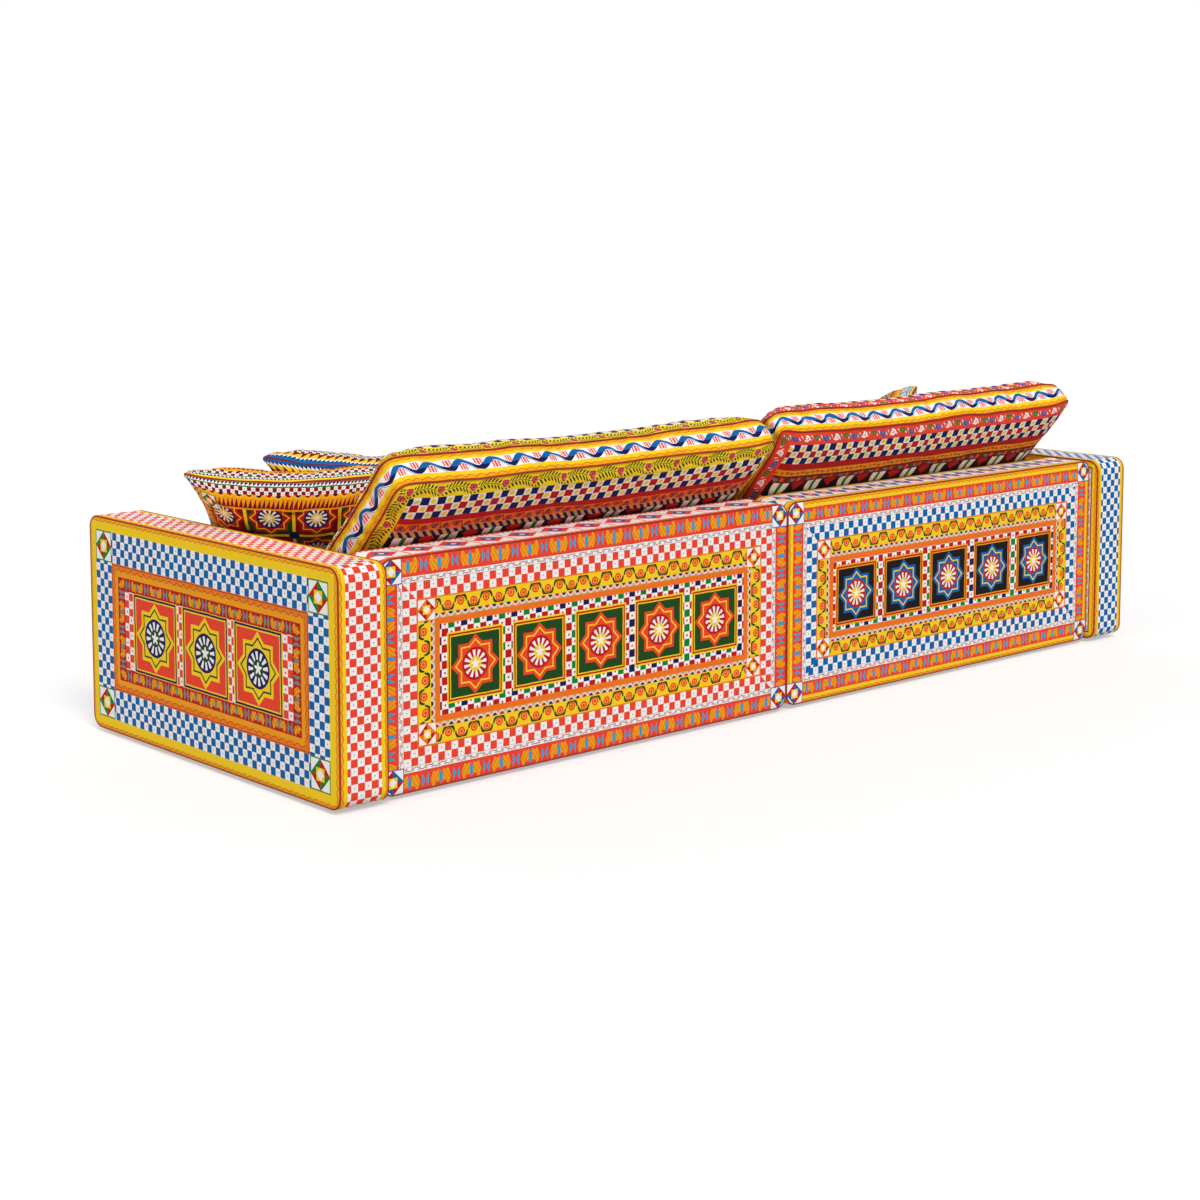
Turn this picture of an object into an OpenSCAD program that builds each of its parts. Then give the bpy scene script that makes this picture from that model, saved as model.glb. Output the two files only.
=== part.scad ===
// Two-module upholstered sofa with loose seat cushions, back cushions and throw pillows.
// Millimetres. X runs to the right of someone facing the sofa, Y to its rear, Z up.
// The origin is on the floor, midway between the arms and between their front and rear ends.

/* [Sofa] */
// Overall width across both arms
sofa_w = 3250; // [3120:10:3380]
// Overall depth from the front ends of the arms to their rear ends
sofa_d = 1205; // [1170:5:1250]
// Height of the arms and of the back above the floor
arm_h = 620; // [600:5:650]
// Thickness of an arm
arm_t = 150; // [142:2:166]
// Thickness of the upholstered back
back_t = 150; // [142:2:166]
// How far the back stands in from the rear ends of the arms
back_recess = 33; // [22:1:44]
// Height of the glides, which is the gap under the covers
glide_h = 12; // [8:1:18]
// Gap between neighbouring upholstered parts
panel_gap = 0.8; // [0.5:0.1:1.5]

/* [Covers and padding] */
// Radius of the corners of an arm and of a back panel
corner_r = 38; // [30:1:46]
// Thickness of a cover with its wadding on the broad faces
cover_t = 3; // [2:0.5:4]
// Diameter of the cord in the seams of the arms and the back
piping_d = 6; // [4:0.5:7]
// Foam between cover and timber on the broad faces
face_foam_t = 26; // [22:1:30]
// Foam between cover and timber on the ends and the top
edge_foam_t = 30; // [24:1:36]

/* [Timber] */
// Thickness of the boards in the arms, the back and the base
board_t = 28; // [24:1:32]
// Widest gap between two posts or two cross rails
bay_max = 290; // [240:10:300]

/* [Base] */
// Height of the platform that carries the seat cushions
deck_z = 200; // [190:2:215]
// Thickness of the padded platform
deck_t = 14; // [10:1:18]
// How far the front border stands in from the front ends of the arms
front_setback = 6; // [2:1:12]
// Thickness of the padded front border
front_t = 32; // [26:1:38]
// Radius of the edges of the front border
front_edge_r = 12; // [8:1:14]
// Thickness of the dust cover under the base
dust_t = 1.5; // [1:0.5:2]
// Width of one webbing strap
strap_w = 60; // [50:2:70]
// Thickness of one webbing strap
strap_t = 1.5; // [1:0.25:2]
// Straps that run from front to rear in one half of the base
strap_count_long = 10; // [8:1:12]
// Straps that run across one half of the base
strap_count_cross = 6; // [5:1:8]

/* [Glides and bolts] */
// Diameter of a glide
glide_d = 50; // [40:2:60]
// Distance from the end of a panel to the middle of its glide
glide_inset = 130; // [110:5:160]
// Diameter of the screw in a glide
screw_d = 5; // [4:0.5:6]
// Diameter of the countersunk head of that screw
screw_head_d = 10; // [9:0.5:12]
// How far that screw goes into the part above the glide
screw_grip = 30; // [26:1:34]
// Diameter of the bolts that join the modules
bolt_d = 8; // [6:1:10]
// Diameter of the bolt heads
bolt_head_d = 18; // [16:1:20]
// Height of the bolt heads
bolt_head_h = 5; // [4:0.5:6]
// Height of the bolts above the floor
bolt_z = 100; // [90:1:110]
// Outer diameter of the insert nuts in the boards
insert_d = 14; // [12:1:16]
// Length of the insert nuts
insert_l = 25; // [20:1:30]
// Width across the corners of the nuts on the link bolts
nut_d = 15; // [14:0.5:16]
// Height of those nuts
nut_h = 6.5; // [5:0.5:8]

/* [Seat cushions] */
// Gap round a seat cushion, outside its piping
cushion_gap = 3; // [2:0.5:5]
// Height of the boxing of a seat cushion between its seams
seat_band = 125; // [110:1:140]
// Rise of the upper panel above its seam
seat_crown = 57; // [45:1:65]
// Drop of the lower panel below its seam
seat_under_crown = 18; // [12:1:22]
// Distance from the seam over which the panel rises to full height
seat_shoulder = 190; // [150:5:230]
// How far the sides are drawn in halfway between the corners
seat_draw_in = 10; // [6:1:14]
// Radius of the corners of a seat cushion
seat_corner_r = 40; // [30:1:50]
// Thickness of the wadding between the foam block and the boxing
seat_wadding = 25; // [20:1:30]

/* [Back cushions] */
// How much shorter a back cushion is than the seat in front of it
back_cushion_slack = 100; // [80:5:130]
// Gap between the two back cushions at their seams
back_cushion_gap = 25; // [18:1:40]
// Height of a back cushion from its lower seam to its upper seam
back_cushion_h = 550; // [520:5:580]
// Width of the boxing of a back cushion
back_band = 88; // [76:1:94]
// Rise of the front panel above its seam
back_crown = 112; // [100:1:118]
// Rise of the rear panel, which rests on the edge of the back
back_rear_crown = 36; // [30:1:42]
// Distance from the seam over which the front panel rises to full height
back_shoulder = 220; // [190:5:230]
// Distance from the seam over which the rear panel rises to full height
back_rear_shoulder = 120; // [100:5:140]
// Lean of the right back cushion from upright, in degrees
back_right_lean = 44.5; // [42:0.5:47]
// Lean of the left back cushion from upright, in degrees
back_left_lean = 41; // [39:0.5:44]
// How far the ends and the long sides are drawn in between the corners
back_draw_in = 12; // [8:1:16]
// Radius of the corners of a back cushion
back_corner_r = 30; // [24:1:36]
// Thickness of the wadding round the inner cushion
back_wadding = 30; // [24:1:36]

/* [Throw pillows] */
// Width and height of a throw pillow from ear to ear
pillow_size = 570; // [540:5:580]
// Thickness of a throw pillow at its middle
pillow_t = 200; // [180:2:206]
// How far the edges are drawn in between the ears
pillow_draw_in = 30; // [20:1:34]
// Radius of the ears
pillow_ear_r = 14; // [10:1:18]
// Room between the inner pad and the cover at the edges
pillow_wadding = 95; // [90:1:105]
// Distance of the corner pillow's middle from the right arm
corner_pillow_side_gap = 244; // [236:2:260]
// Distance of the corner pillow's middle in front of the lower seam of the back cushion
corner_pillow_front_gap = 293.7; // [290:1:310]
// Distance of the front pillow's middle from the right arm
front_pillow_side_gap = 573; // [560:2:590]
// Distance of the front pillow's middle in front of the lower seam of the back cushion
front_pillow_front_gap = 379.7; // [376:1:400]
// Distance of the left pillow's middle from the left arm
left_pillow_side_gap = 380; // [370:2:400]
// Distance of the left pillow's middle in front of the lower seam of the back cushion
left_pillow_front_gap = 280; // [272:1:290]
// Turn of the corner pillow about the upright, in degrees
corner_pillow_turn = -39.5; // [-42:0.5:-37]
// Turn of the front pillow about the upright, in degrees
front_pillow_turn = -45.5; // [-48:0.5:-43]
// Turn of the left pillow about the upright, in degrees
left_pillow_turn = 43.5; // [41:0.5:46]
// Lean of the two right-hand pillows from upright, in degrees
right_pillow_lean = 49; // [47:0.5:51]
// Lean of the left pillow from upright, in degrees
left_pillow_lean = 42.5; // [40:0.5:44]

/* [Seams and zips] */
// Diameter of the cord in the cushion seams
cushion_piping_d = 5; // [4:0.5:6]
// Width of a zip
zip_w = 8; // [6:0.5:10]
// Thickness of a zip
zip_t = 2; // [1.5:0.1:2.5]
// Length of the zip of a seat cushion
seat_zip_l = 900; // [700:20:1000]
// Length of the zip of a back cushion
back_zip_l = 800; // [600:20:900]
// Length of the zip of a throw pillow
pillow_zip_l = 360; // [300:10:400]

/* [Hidden] */

// Clearance between pieces that lie on or in each other
fit = 0.3;
// Clearance round a screw or a bolt in its hole
hole_fit = 0.5;
// How far a cut runs past the face that it opens
overrun = 1;

// Smoothness of round parts, of tubes and of small holes
fn_round = 48;
fn_tube = 16;
fn_hole = 24;

// The rebate that takes the piping, and the wall of a cover along its edges
notch = piping_d + fit;
cover_edge_t = notch + cover_t;

// Inner faces of the arms, and the length of the back and base of one half
inner_x = sofa_w / 2 - arm_t;
half_w = inner_x - panel_gap * 3 / 2;
half_x = panel_gap / 2 + half_w / 2;
arm_x = sofa_w / 2 - arm_t / 2;

// The upholstered height, and the two broad faces of the back
panel_h = arm_h - glide_h;
back_y = sofa_d / 2 - back_recess - back_t / 2;
back_front_y = back_y - back_t / 2;

// Timber of an upholstered panel: its length and height inside the foam
core_inset = cover_edge_t + fit + edge_foam_t + fit;
core_floor = cover_edge_t + fit;

// Base of one half: front and rear of the timber, and its height
front_y = -sofa_d / 2 + front_setback;
base_front_y = front_y + front_t + fit;
base_rear_y = back_front_y - panel_gap;
base_d = base_rear_y - base_front_y;
base_floor = glide_h + dust_t;
web_top = deck_z - deck_t - fit;
base_top = web_top - 2 * strap_t - fit;
base_h = base_top - base_floor;

// Places of the glides on the right-hand half, each with the depth of its screw hole
arm_glides = [for (s = [-1, 1]) [arm_x, s * (sofa_d / 2 - glide_inset)]];
back_glides = [for (x = [glide_inset, inner_x - glide_inset]) [x, back_y]];
base_glides = [for (x = [glide_inset, inner_x - glide_inset]) [x, base_front_y + board_t / 2]];

// Bolts: along Y into the arms, along X into the back, and the link bolts
bolt_shares = [0.12, 0.5, 0.88];
arm_bolt_y = [for (s = bolt_shares) base_front_y + s * base_d];
base_bays = ceil((half_w - board_t) / (bay_max + board_t));
base_pitch = (half_w - board_t) / base_bays;
back_bolt_x = [for (s = bolt_shares)
    panel_gap / 2 + board_t / 2 + (floor(s * base_bays) + 1 / 2) * base_pitch];
link_shares = [0.25, 0.75];
link_bolt_y = [for (s = link_shares) base_front_y + s * base_d];
foam_path = cover_t + fit + face_foam_t + fit;
bolt_reach = board_t + panel_gap + foam_path + insert_l;
insert_depth = insert_l + 3 * bolt_d;

// Seat cushion: half sizes of its seam outline, its place and its seams
cord_room = cushion_piping_d + fit;
seat_w = inner_x - cushion_gap * 3 / 2 - 2 * cord_room;
seat_d = back_front_y - front_y - cushion_gap - 2 * cord_room;
seat_x = cushion_gap / 2 + cord_room + seat_w / 2;
seat_y = front_y + cord_room + seat_d / 2;
seat_seam_z = deck_z + fit + seat_under_crown;
seat_top_seam_z = seat_seam_z + seat_band;
seat_top_z = seat_top_seam_z + seat_crown;

// Shares of the way in from a seam at which a panel has its rings
crown_shares = [0.06, 0.2, 0.42, 0.7, 1];
under_shares = [0.1, 0.42, 1];
boxed_power = 0.5;
pillow_power = 0.72;
ear_thin_share = 0.55;
end_low_share = 0.5;
band_bulge_share = 0.03;
steps_long = 7;
steps_short = 5;
steps_corner = 3;
cord_sides = 6;
slider_share = 0.47;

// A drawn-in outline: the arc of one side has its radius from the corner circle that it touches
function reach(half, sag, r) = (sag * sag + pow(half - r, 2)) / (2 * sag);
function side_r(half, sag, r) = reach(half, sag, r) - r;
function side_turn(half, sag, r) = atan2(half - r, reach(half, sag, r) - sag);
function arc(c, r, from, to, n) =
    [for (i = [0 : n - 1]) c + r * [cos(from + (to - from) * i / n), sin(from + (to - from) * i / n)]];
function outline(a, b, sag, r) =
    let (ra = side_r(b, sag, r), rb = side_r(a, sag, r))
    let (ta = side_turn(b, sag, r), tb = side_turn(a, sag, r))
    let (ca = a - sag + ra, cb = b - sag + rb)
    concat(
        arc([ca, 0], ra, 180 + ta, 180 - ta, steps_short),
        arc([a - r, b - r], r, -ta, 90 + tb, steps_corner),
        arc([0, cb], rb, 270 + tb, 270 - tb, steps_long),
        arc([r - a, b - r], r, 90 - tb, 180 + ta, steps_corner),
        arc([-ca, 0], ra, ta, -ta, steps_short),
        arc([r - a, r - b], r, 180 - ta, 270 + tb, steps_corner),
        arc([0, -cb], rb, 90 + tb, 90 - tb, steps_long),
        arc([a - r, r - b], r, 270 - tb, 360 + ta, steps_corner)
    );

// How far the straight facets of a drawn-in side stand out of its arc
function chord_rise(half, sag, r, steps) =
    side_r(half, sag, r) * (1 - cos(side_turn(half, sag, r) / steps));

// Rise of a crowned panel at a share of the way in from its seam
function crown_rise(share, rise, power) = rise * pow(1 - pow(1 - share, 2), power);

// Rings of a cushion as [inset, base, rise, share], from the lower cap to the upper one
function lower_rings(shares, rise, shoulder, power) =
    [for (i = [len(shares) - 1 : -1 : 0])
        let (s = shares[i]) [shoulder * s, 0, -crown_rise(s, rise, power), s]];
function upper_rings(base, rise, shoulder, power) =
    [for (s = crown_shares) [shoulder * s, base, crown_rise(s, rise, power), s]];
function boxed_rings(band, low, low_shoulder, high, high_shoulder) = concat(
    lower_rings(under_shares, low, low_shoulder, boxed_power),
    [[0, 0, 0, 0], [-band * band_bulge_share, band / 2, 0, 0], [0, band, 0, 0]],
    upper_rings(band, high, high_shoulder, boxed_power)
);
function pillow_rings(rise, shoulder) = concat(
    lower_rings(crown_shares, rise, shoulder, pillow_power),
    [[0, 0, 0, 0]],
    upper_rings(0, rise, shoulder, pillow_power)
);

// Points of a cushion; the rise falls off towards the corners by the share named thin,
// and above the band also towards the ends by the share named low
function cornerness(p, a, b) = pow(abs(p[0] * p[1]) / (a * b), 3);
function endness(p, a, rise) = rise > 0 ? pow(abs(p[0]) / a, 6) : 0;
function cushion_points(line, a, b, rings, thin, low = 0) =
    [for (g = rings) for (p = line)
        [p[0] * (a - g[0]) / a, p[1] * (b - g[0]) / b,
         g[1] + g[2] * (1 - (1 - g[3]) * (thin * cornerness(p, a, b) + low * endness(p, a, g[2])))]];

module cushion_form(line, a, b, rings, thin = 0, low = 0) {
    n = len(line);
    m = len(rings);
    sides = [for (k = [0 : m - 2]) for (i = [0 : n - 1])
        let (j = (i + 1) % n, p = k * n + i, q = k * n + j)
        each [[p, p + n, q + n], [p, q + n, q]]];
    lower_cap = [for (i = [0 : n - 1]) i];
    upper_cap = [for (i = [n - 1 : -1 : 0]) (m - 1) * n + i];
    polyhedron(points = cushion_points(line, a, b, rings, thin, low), faces = concat([lower_cap], sides, [upper_cap]));
}

// A strip or a tube of any outline, swept along part of a circle
module swept_arc(c, r, from, turn, steps) {
    translate(c)
        rotate([0, 0, from])
            rotate_extrude(angle = turn, $fn = floor(steps * 360 / turn))
                translate([r, 0])
                    children();
}

// A cord round a drawn-in outline, just outside its seam
module cord_loop(line, d, z) {
    n = len(line);
    m = cord_sides;
    off = d / 2 + fit;
    points = [for (i = [0 : n - 1])
        let (along = line[(i + 1) % n] - line[(i + n - 1) % n], out = [along[1], -along[0]] / norm(along))
        for (k = [0 : m - 1])
            let (p = line[i] + out * (off + d / 2 * cos(360 * k / m)))
            [p[0], p[1], z + d / 2 * sin(360 * k / m)]];
    faces = [for (i = [0 : n - 1]) for (k = [0 : m - 1])
        let (j = (i + 1) % n, l = (k + 1) % m)
        each [[i * m + k, i * m + l, j * m + l], [i * m + k, j * m + l, j * m + k]]];
    polyhedron(points = points, faces = faces);
}

// A zip along the lower side of a drawn-in outline, with its slider
module edge_zip(a, b, sag, r, length, swell) {
    rb = side_r(a, sag, r);
    off = fit + swell + chord_rise(a, sag, r, steps_long);
    turn = length / rb * 180 / PI;
    cb = b - sag + rb;
    swept_arc([0, -cb], rb - off - zip_t, 90 - turn / 2, turn, steps_long)
        translate([0, -zip_w / 2]) square([zip_t, zip_w]);
    translate([0, -cb, -zip_w / 4])
        rotate([0, 0, -turn * slider_share])
            translate([-zip_w / 2, rb - off - 2 * zip_t, 0])
                cube([zip_w, zip_t * 3 / 2, zip_w / 2]);
}

// A flat outline with round corners, centred in X and standing on the X axis
module rounded_outline(w, h, r) {
    translate([-w / 2 + r, 0]) square([w - 2 * r, h]);
    translate([-w / 2, r]) square([w, h - 2 * r]);
    for (s = [-1, 1])
        for (y = [r, h - r])
            translate([s * (w / 2 - r), y]) circle(r = r, $fn = fn_round);
}

// An upright slab of that outline, centred in X and Y
module slab(w, h, t, r) {
    translate([0, t / 2, 0])
        rotate([90, 0, 0])
            linear_extrude(t)
                rounded_outline(w, h, r);
}

// Arms and back share one panel construction of width w and thickness t.
// Its cover is rebated along its edges for the piping.
module panel_cover(w, t) {
    difference() {
        union() {
            slab(w, panel_h, t - 2 * notch, corner_r);
            translate([0, 0, notch])
                slab(w - 2 * notch, panel_h - 2 * notch, t, corner_r - notch);
        }
        translate([0, 0, cover_edge_t])
            slab(w - 2 * cover_edge_t, panel_h - 2 * cover_edge_t, t - 2 * cover_t,
                 corner_r - cover_edge_t);
    }
}

// Foam over the faces, the ends and the top of the timber, open below
module panel_padding(w, t) {
    skin = cover_edge_t + fit;
    difference() {
        translate([0, 0, skin])
            slab(w - 2 * skin, panel_h - 2 * skin, t - 2 * (cover_t + fit), corner_r - skin);
        translate([-w / 2 + skin + edge_foam_t, -t / 2 + cover_t + fit + face_foam_t, 0])
            cube([w - 2 * (skin + edge_foam_t), t - 2 * (cover_t + fit + face_foam_t),
                  panel_h - skin - edge_foam_t]);
    }
}

// Boards and posts of a panel; one board lies at the height of the bolts
module panel_frame(w, t) {
    length = w - 2 * core_inset;
    depth = t - 2 * foam_path;
    top = panel_h - core_inset;
    bolt_board = bolt_z - glide_h - board_t / 2;
    middle_board = (bolt_board + top) / 2;
    bays = ceil((length - board_t) / (bay_max + board_t));
    for (z = [core_floor, bolt_board, middle_board, top - board_t])
        translate([-length / 2, -depth / 2, z])
            cube([length, depth, board_t]);
    for (i = [0 : bays])
        translate([-length / 2 + i * (length - board_t) / bays, -depth / 2, core_floor])
            cube([board_t, depth, top - core_floor]);
}

// Two cords round the broad faces of a panel
module panel_piping(w, t) {
    inset = piping_d / 2;
    r = corner_r - inset;
    x = w / 2 - corner_r;
    low = corner_r;
    high = panel_h - corner_r;
    for (s = [-1, 1])
        translate([0, s * (t / 2 - inset), 0])
            rotate([90, 0, 0]) {
                for (c = [[x, high, 0], [-x, high, 90], [-x, low, 180], [x, low, 270]])
                    swept_arc([c[0], c[1]], r, c[2], 90, steps_corner * 2)
                        circle(d = piping_d, $fn = fn_tube);
                for (k = [-1, 1]) {
                    translate([k * (x + r), low, 0])
                        rotate([-90, 0, 0]) linear_extrude(high - low) circle(d = piping_d, $fn = fn_tube);
                    translate([-x, k > 0 ? high + r : low - r, 0])
                        rotate([90, 0, 90]) linear_extrude(2 * x) circle(d = piping_d, $fn = fn_tube);
                }
            }
}

// The right-hand arm stands along Y, the right-hand back panel along X
module at_arm() {
    translate([arm_x, 0, glide_h]) rotate([0, 0, 90]) children();
}
module at_back() {
    translate([half_x, back_y, glide_h]) children();
}

// Clearance for the glide screws at a list of places
module screw_holes(places) {
    for (p = places)
        translate([p[0], p[1], glide_h - overrun])
            cylinder(d = screw_d + hole_fit, h = screw_grip + 2 * overrun, $fn = fn_hole);
}

// Round bars along X from x, and along Y from y, for bolts and for their holes
module bars_x(x, ys, d, l) {
    for (y = ys)
        translate([x, y, bolt_z]) rotate([0, 90, 0]) cylinder(d = d, h = l, $fn = fn_hole);
}
module bars_y(y, xs, d, l) {
    for (x = xs)
        translate([x, y, bolt_z]) rotate([-90, 0, 0]) cylinder(d = d, h = l, $fn = fn_hole);
}

// Faces of the timber that the insert nuts sit in
arm_board_x = inner_x + foam_path;
back_board_y = back_front_y + foam_path;
arm_bolt_x = half_x + half_w / 2 - board_t;
back_bolt_y = base_rear_y - board_t;

module arm_frame() {
    color("burlywood")
        difference() {
            at_arm() panel_frame(sofa_d, arm_t);
            screw_holes(arm_glides);
            bars_x(arm_board_x - overrun, arm_bolt_y, insert_d + 2 * fit, insert_l + fit + overrun);
            bars_x(arm_board_x, arm_bolt_y, bolt_d + hole_fit, insert_depth);
        }
}
module arm_padding() {
    color("lightyellow")
        difference() {
            at_arm() panel_padding(sofa_d, arm_t);
            bars_x(inner_x, arm_bolt_y, insert_d + 2 * fit, foam_path + overrun);
        }
}
module arm_cover(shade) {
    color(shade)
        difference() {
            at_arm() panel_cover(sofa_d, arm_t);
            screw_holes(arm_glides);
            bars_x(inner_x - overrun, arm_bolt_y, bolt_d + hole_fit, cover_t + 2 * overrun);
        }
}
module arm_piping() {
    color("firebrick") at_arm() panel_piping(sofa_d, arm_t);
}

module back_frame() {
    color("burlywood")
        difference() {
            at_back() panel_frame(half_w, back_t);
            screw_holes(back_glides);
            bars_y(back_board_y - overrun, back_bolt_x, insert_d + 2 * fit, insert_l + fit + overrun);
            bars_y(back_board_y, back_bolt_x, bolt_d + hole_fit, insert_depth);
        }
}
module back_padding() {
    color("lightyellow")
        difference() {
            at_back() panel_padding(half_w, back_t);
            bars_y(back_front_y, back_bolt_x, insert_d + 2 * fit, foam_path + overrun);
        }
}
module back_cover(shade) {
    color(shade)
        difference() {
            at_back() panel_cover(half_w, back_t);
            screw_holes(back_glides);
            bars_y(back_front_y - overrun, back_bolt_x, bolt_d + hole_fit, cover_t + 2 * overrun);
        }
}
module back_piping() {
    color("orangered") at_back() panel_piping(half_w, back_t);
}

// Timber of one half of the base: four rails round it and cross rails from front to rear
module base_frame() {
    color("burlywood")
        difference() {
            translate([panel_gap / 2, base_front_y, base_floor]) {
                for (y = [0, base_d - board_t])
                    translate([0, y, 0]) cube([half_w, board_t, base_h]);
                for (i = [0 : base_bays])
                    translate([i * base_pitch, 0, 0]) cube([board_t, base_d, base_h]);
            }
            screw_holes(base_glides);
            bars_x(arm_bolt_x - overrun, arm_bolt_y, bolt_d + hole_fit, board_t + 2 * overrun);
            bars_y(back_bolt_y - overrun, back_bolt_x, bolt_d + hole_fit, board_t + 2 * overrun);
            bars_x(-overrun, link_bolt_y, bolt_d + hole_fit, panel_gap + board_t + 2 * overrun);
        }
}

// Straps from front to rear lie on the rails, and the cross straps on them
module base_webbing() {
    pitch_x = (half_w - strap_w) / (strap_count_long - 1);
    pitch_y = (base_d - strap_w) / (strap_count_cross - 1);
    color("dimgray")
        translate([panel_gap / 2, base_front_y, base_top]) {
            for (i = [0 : strap_count_long - 1])
                translate([i * pitch_x, 0, fit / 3]) cube([strap_w, base_d, strap_t]);
            for (i = [0 : strap_count_cross - 1])
                translate([0, i * pitch_y, strap_t + fit * 2 / 3]) cube([half_w, strap_w, strap_t]);
        }
}
module base_platform() {
    color("lightgray")
        translate([panel_gap / 2, base_front_y, deck_z - deck_t])
            cube([half_w, base_d, deck_t]);
}
module base_front() {
    h = deck_z - glide_h;
    color("gold")
        intersection() {
            translate([half_x, front_y + front_t / 2, glide_h]) slab(half_w, h, front_t, front_edge_r);
            translate([half_x, front_y + front_t / 2, glide_h])
                rotate([0, 0, 90]) slab(front_t, h, half_w, front_edge_r);
        }
}
module base_dust_cover() {
    color("black")
        difference() {
            translate([panel_gap / 2, base_front_y, glide_h]) cube([half_w, base_d, dust_t - fit / 3]);
            screw_holes(base_glides);
        }
}

// All glides and what is repeated on the left-hand half
module both_sides() {
    children();
    mirror([1, 0, 0]) children();
}
all_glides = concat(arm_glides, back_glides, base_glides);
screw_cone = (screw_head_d - screw_d) / 2;
module glides() {
    color("black")
        both_sides()
            for (p = all_glides)
                translate([p[0], p[1], 0])
                    difference() {
                        cylinder(d = glide_d, h = glide_h, $fn = fn_round);
                        translate([0, 0, -overrun])
                            cylinder(d = screw_d + hole_fit, h = glide_h + 2 * overrun, $fn = fn_hole);
                        translate([0, 0, -overrun])
                            cylinder(d = screw_head_d + hole_fit, h = overrun + glide_h / 3, $fn = fn_hole);
                        translate([0, 0, glide_h / 3])
                            cylinder(d1 = screw_head_d + hole_fit, d2 = screw_d + hole_fit, h = screw_cone,
                                     $fn = fn_hole);
                    }
}
module glide_screws() {
    color("silver")
        both_sides()
            for (p = all_glides)
                translate([p[0], p[1], glide_h / 3 - fit])
                    union() {
                        cylinder(d1 = screw_head_d, d2 = screw_d, h = screw_cone, $fn = fn_hole);
                        cylinder(d = screw_d, h = glide_h * 2 / 3 + screw_grip, $fn = fn_hole);
                    }
}

// Bolts from the base into the insert nuts of the arms and the back
module arm_bolts() {
    color("silver")
        both_sides() {
            bars_x(arm_bolt_x, arm_bolt_y, bolt_d, bolt_reach);
            bars_x(arm_bolt_x - bolt_head_h, arm_bolt_y, bolt_head_d, bolt_head_h);
        }
}
module back_bolts() {
    color("silver")
        both_sides() {
            bars_y(back_bolt_y, back_bolt_x, bolt_d, bolt_reach);
            bars_y(back_bolt_y - bolt_head_h, back_bolt_x, bolt_head_d, bolt_head_h);
        }
}
module insert_nuts() {
    color("goldenrod")
        both_sides() {
            difference() {
                bars_x(arm_board_x, arm_bolt_y, insert_d, insert_l);
                bars_x(arm_board_x - overrun, arm_bolt_y, bolt_d + hole_fit, insert_l + 2 * overrun);
            }
            difference() {
                bars_y(back_board_y, back_bolt_x, insert_d, insert_l);
                bars_y(back_board_y - overrun, back_bolt_x, bolt_d + hole_fit, insert_l + 2 * overrun);
            }
        }
}

// Bolts that hold the two halves of the base together, with nuts on the left
link_x = panel_gap / 2 + board_t;
module link_bolts() {
    color("silver") {
        bars_x(-link_x - nut_h - bolt_d / 2, link_bolt_y, bolt_d, 2 * link_x + nut_h + bolt_d / 2);
        bars_x(link_x, link_bolt_y, bolt_head_d, bolt_head_h);
    }
}
module link_nuts() {
    color("goldenrod")
        for (y = link_bolt_y)
            translate([-link_x - nut_h, y, bolt_z])
                rotate([0, 90, 0])
                    difference() {
                        cylinder(d = nut_d, h = nut_h, $fn = 6);
                        translate([0, 0, -overrun])
                            cylinder(d = bolt_d + hole_fit, h = nut_h + 2 * overrun, $fn = fn_hole);
                    }
}

// Seat cushion of the right-hand half
seat_line = outline(seat_w / 2, seat_d / 2, seat_draw_in, seat_corner_r);
seat_rings = boxed_rings(seat_band, seat_under_crown, seat_shoulder / 2, seat_crown, seat_shoulder);
module at_seat() {
    translate([seat_x, seat_y, seat_seam_z]) children();
}
module seat_block(gap) {
    side = seat_draw_in + seat_wadding + gap;
    translate([0, 0, -seat_under_crown / 3 + gap])
        linear_extrude(seat_band + seat_under_crown / 3 + seat_crown / 2 - 2 * gap)
            translate([0, -seat_d / 2 + side])
                rounded_outline(seat_w - 2 * side, seat_d - 2 * side, seat_corner_r);
}
module seat_core() {
    color("khaki") at_seat() seat_block(fit);
}
module seat_cover(shade) {
    color(shade)
        at_seat()
            difference() {
                cushion_form(seat_line, seat_w / 2, seat_d / 2, seat_rings);
                seat_block(0);
            }
}
module seat_piping() {
    color("firebrick")
        at_seat()
            for (z = [0, seat_band])
                cord_loop(seat_line, cushion_piping_d, z);
}
module seat_zip() {
    color("gray")
        at_seat()
            translate([0, 0, seat_band / 2])
                rotate([0, 0, 180])
                    edge_zip(seat_w / 2, seat_d / 2, seat_draw_in, seat_corner_r, seat_zip_l,
                             seat_band * band_bulge_share);
}

// Height of the seat's surface under a point, from its distance to the seams
seat_profile = concat([[0, 0]], [for (s = crown_shares) [s, crown_rise(s, seat_crown, boxed_power)]]);
function seat_surface(x, y) =
    let (in_x = seat_w / 2 - abs(abs(x) - seat_x), in_y = seat_d / 2 - abs(y - seat_y))
    let (share = min(in_x, in_y) / seat_shoulder)
    share < 0 ? 0 : seat_top_seam_z + lookup(share, seat_profile);
function lift_onto_seat(points) = fit + max([for (p = points) seat_surface(p[0], p[1]) - p[2]]);

// Back cushion: it leans on the round top edge of the back and stands on the seat.
// Its own Y runs up along it and its own Z through its thickness, to the front.
back_cushion_w = inner_x - back_cushion_slack;
back_cushion_x = back_cushion_gap / 2 + back_cushion_w / 2;
edge_centre = [back_front_y + piping_d / 2, arm_h - piping_d / 2];
function lean_out(lean) = [-cos(lean), sin(lean)];
function rest_line(lean) = edge_centre * lean_out(lean) + back_rear_crown + piping_d / 2 + fit;
back_line = outline(back_cushion_w / 2, back_cushion_h / 2, back_draw_in, back_corner_r);
back_rings = boxed_rings(back_band, back_rear_crown, back_rear_shoulder, back_crown, back_shoulder);

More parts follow.
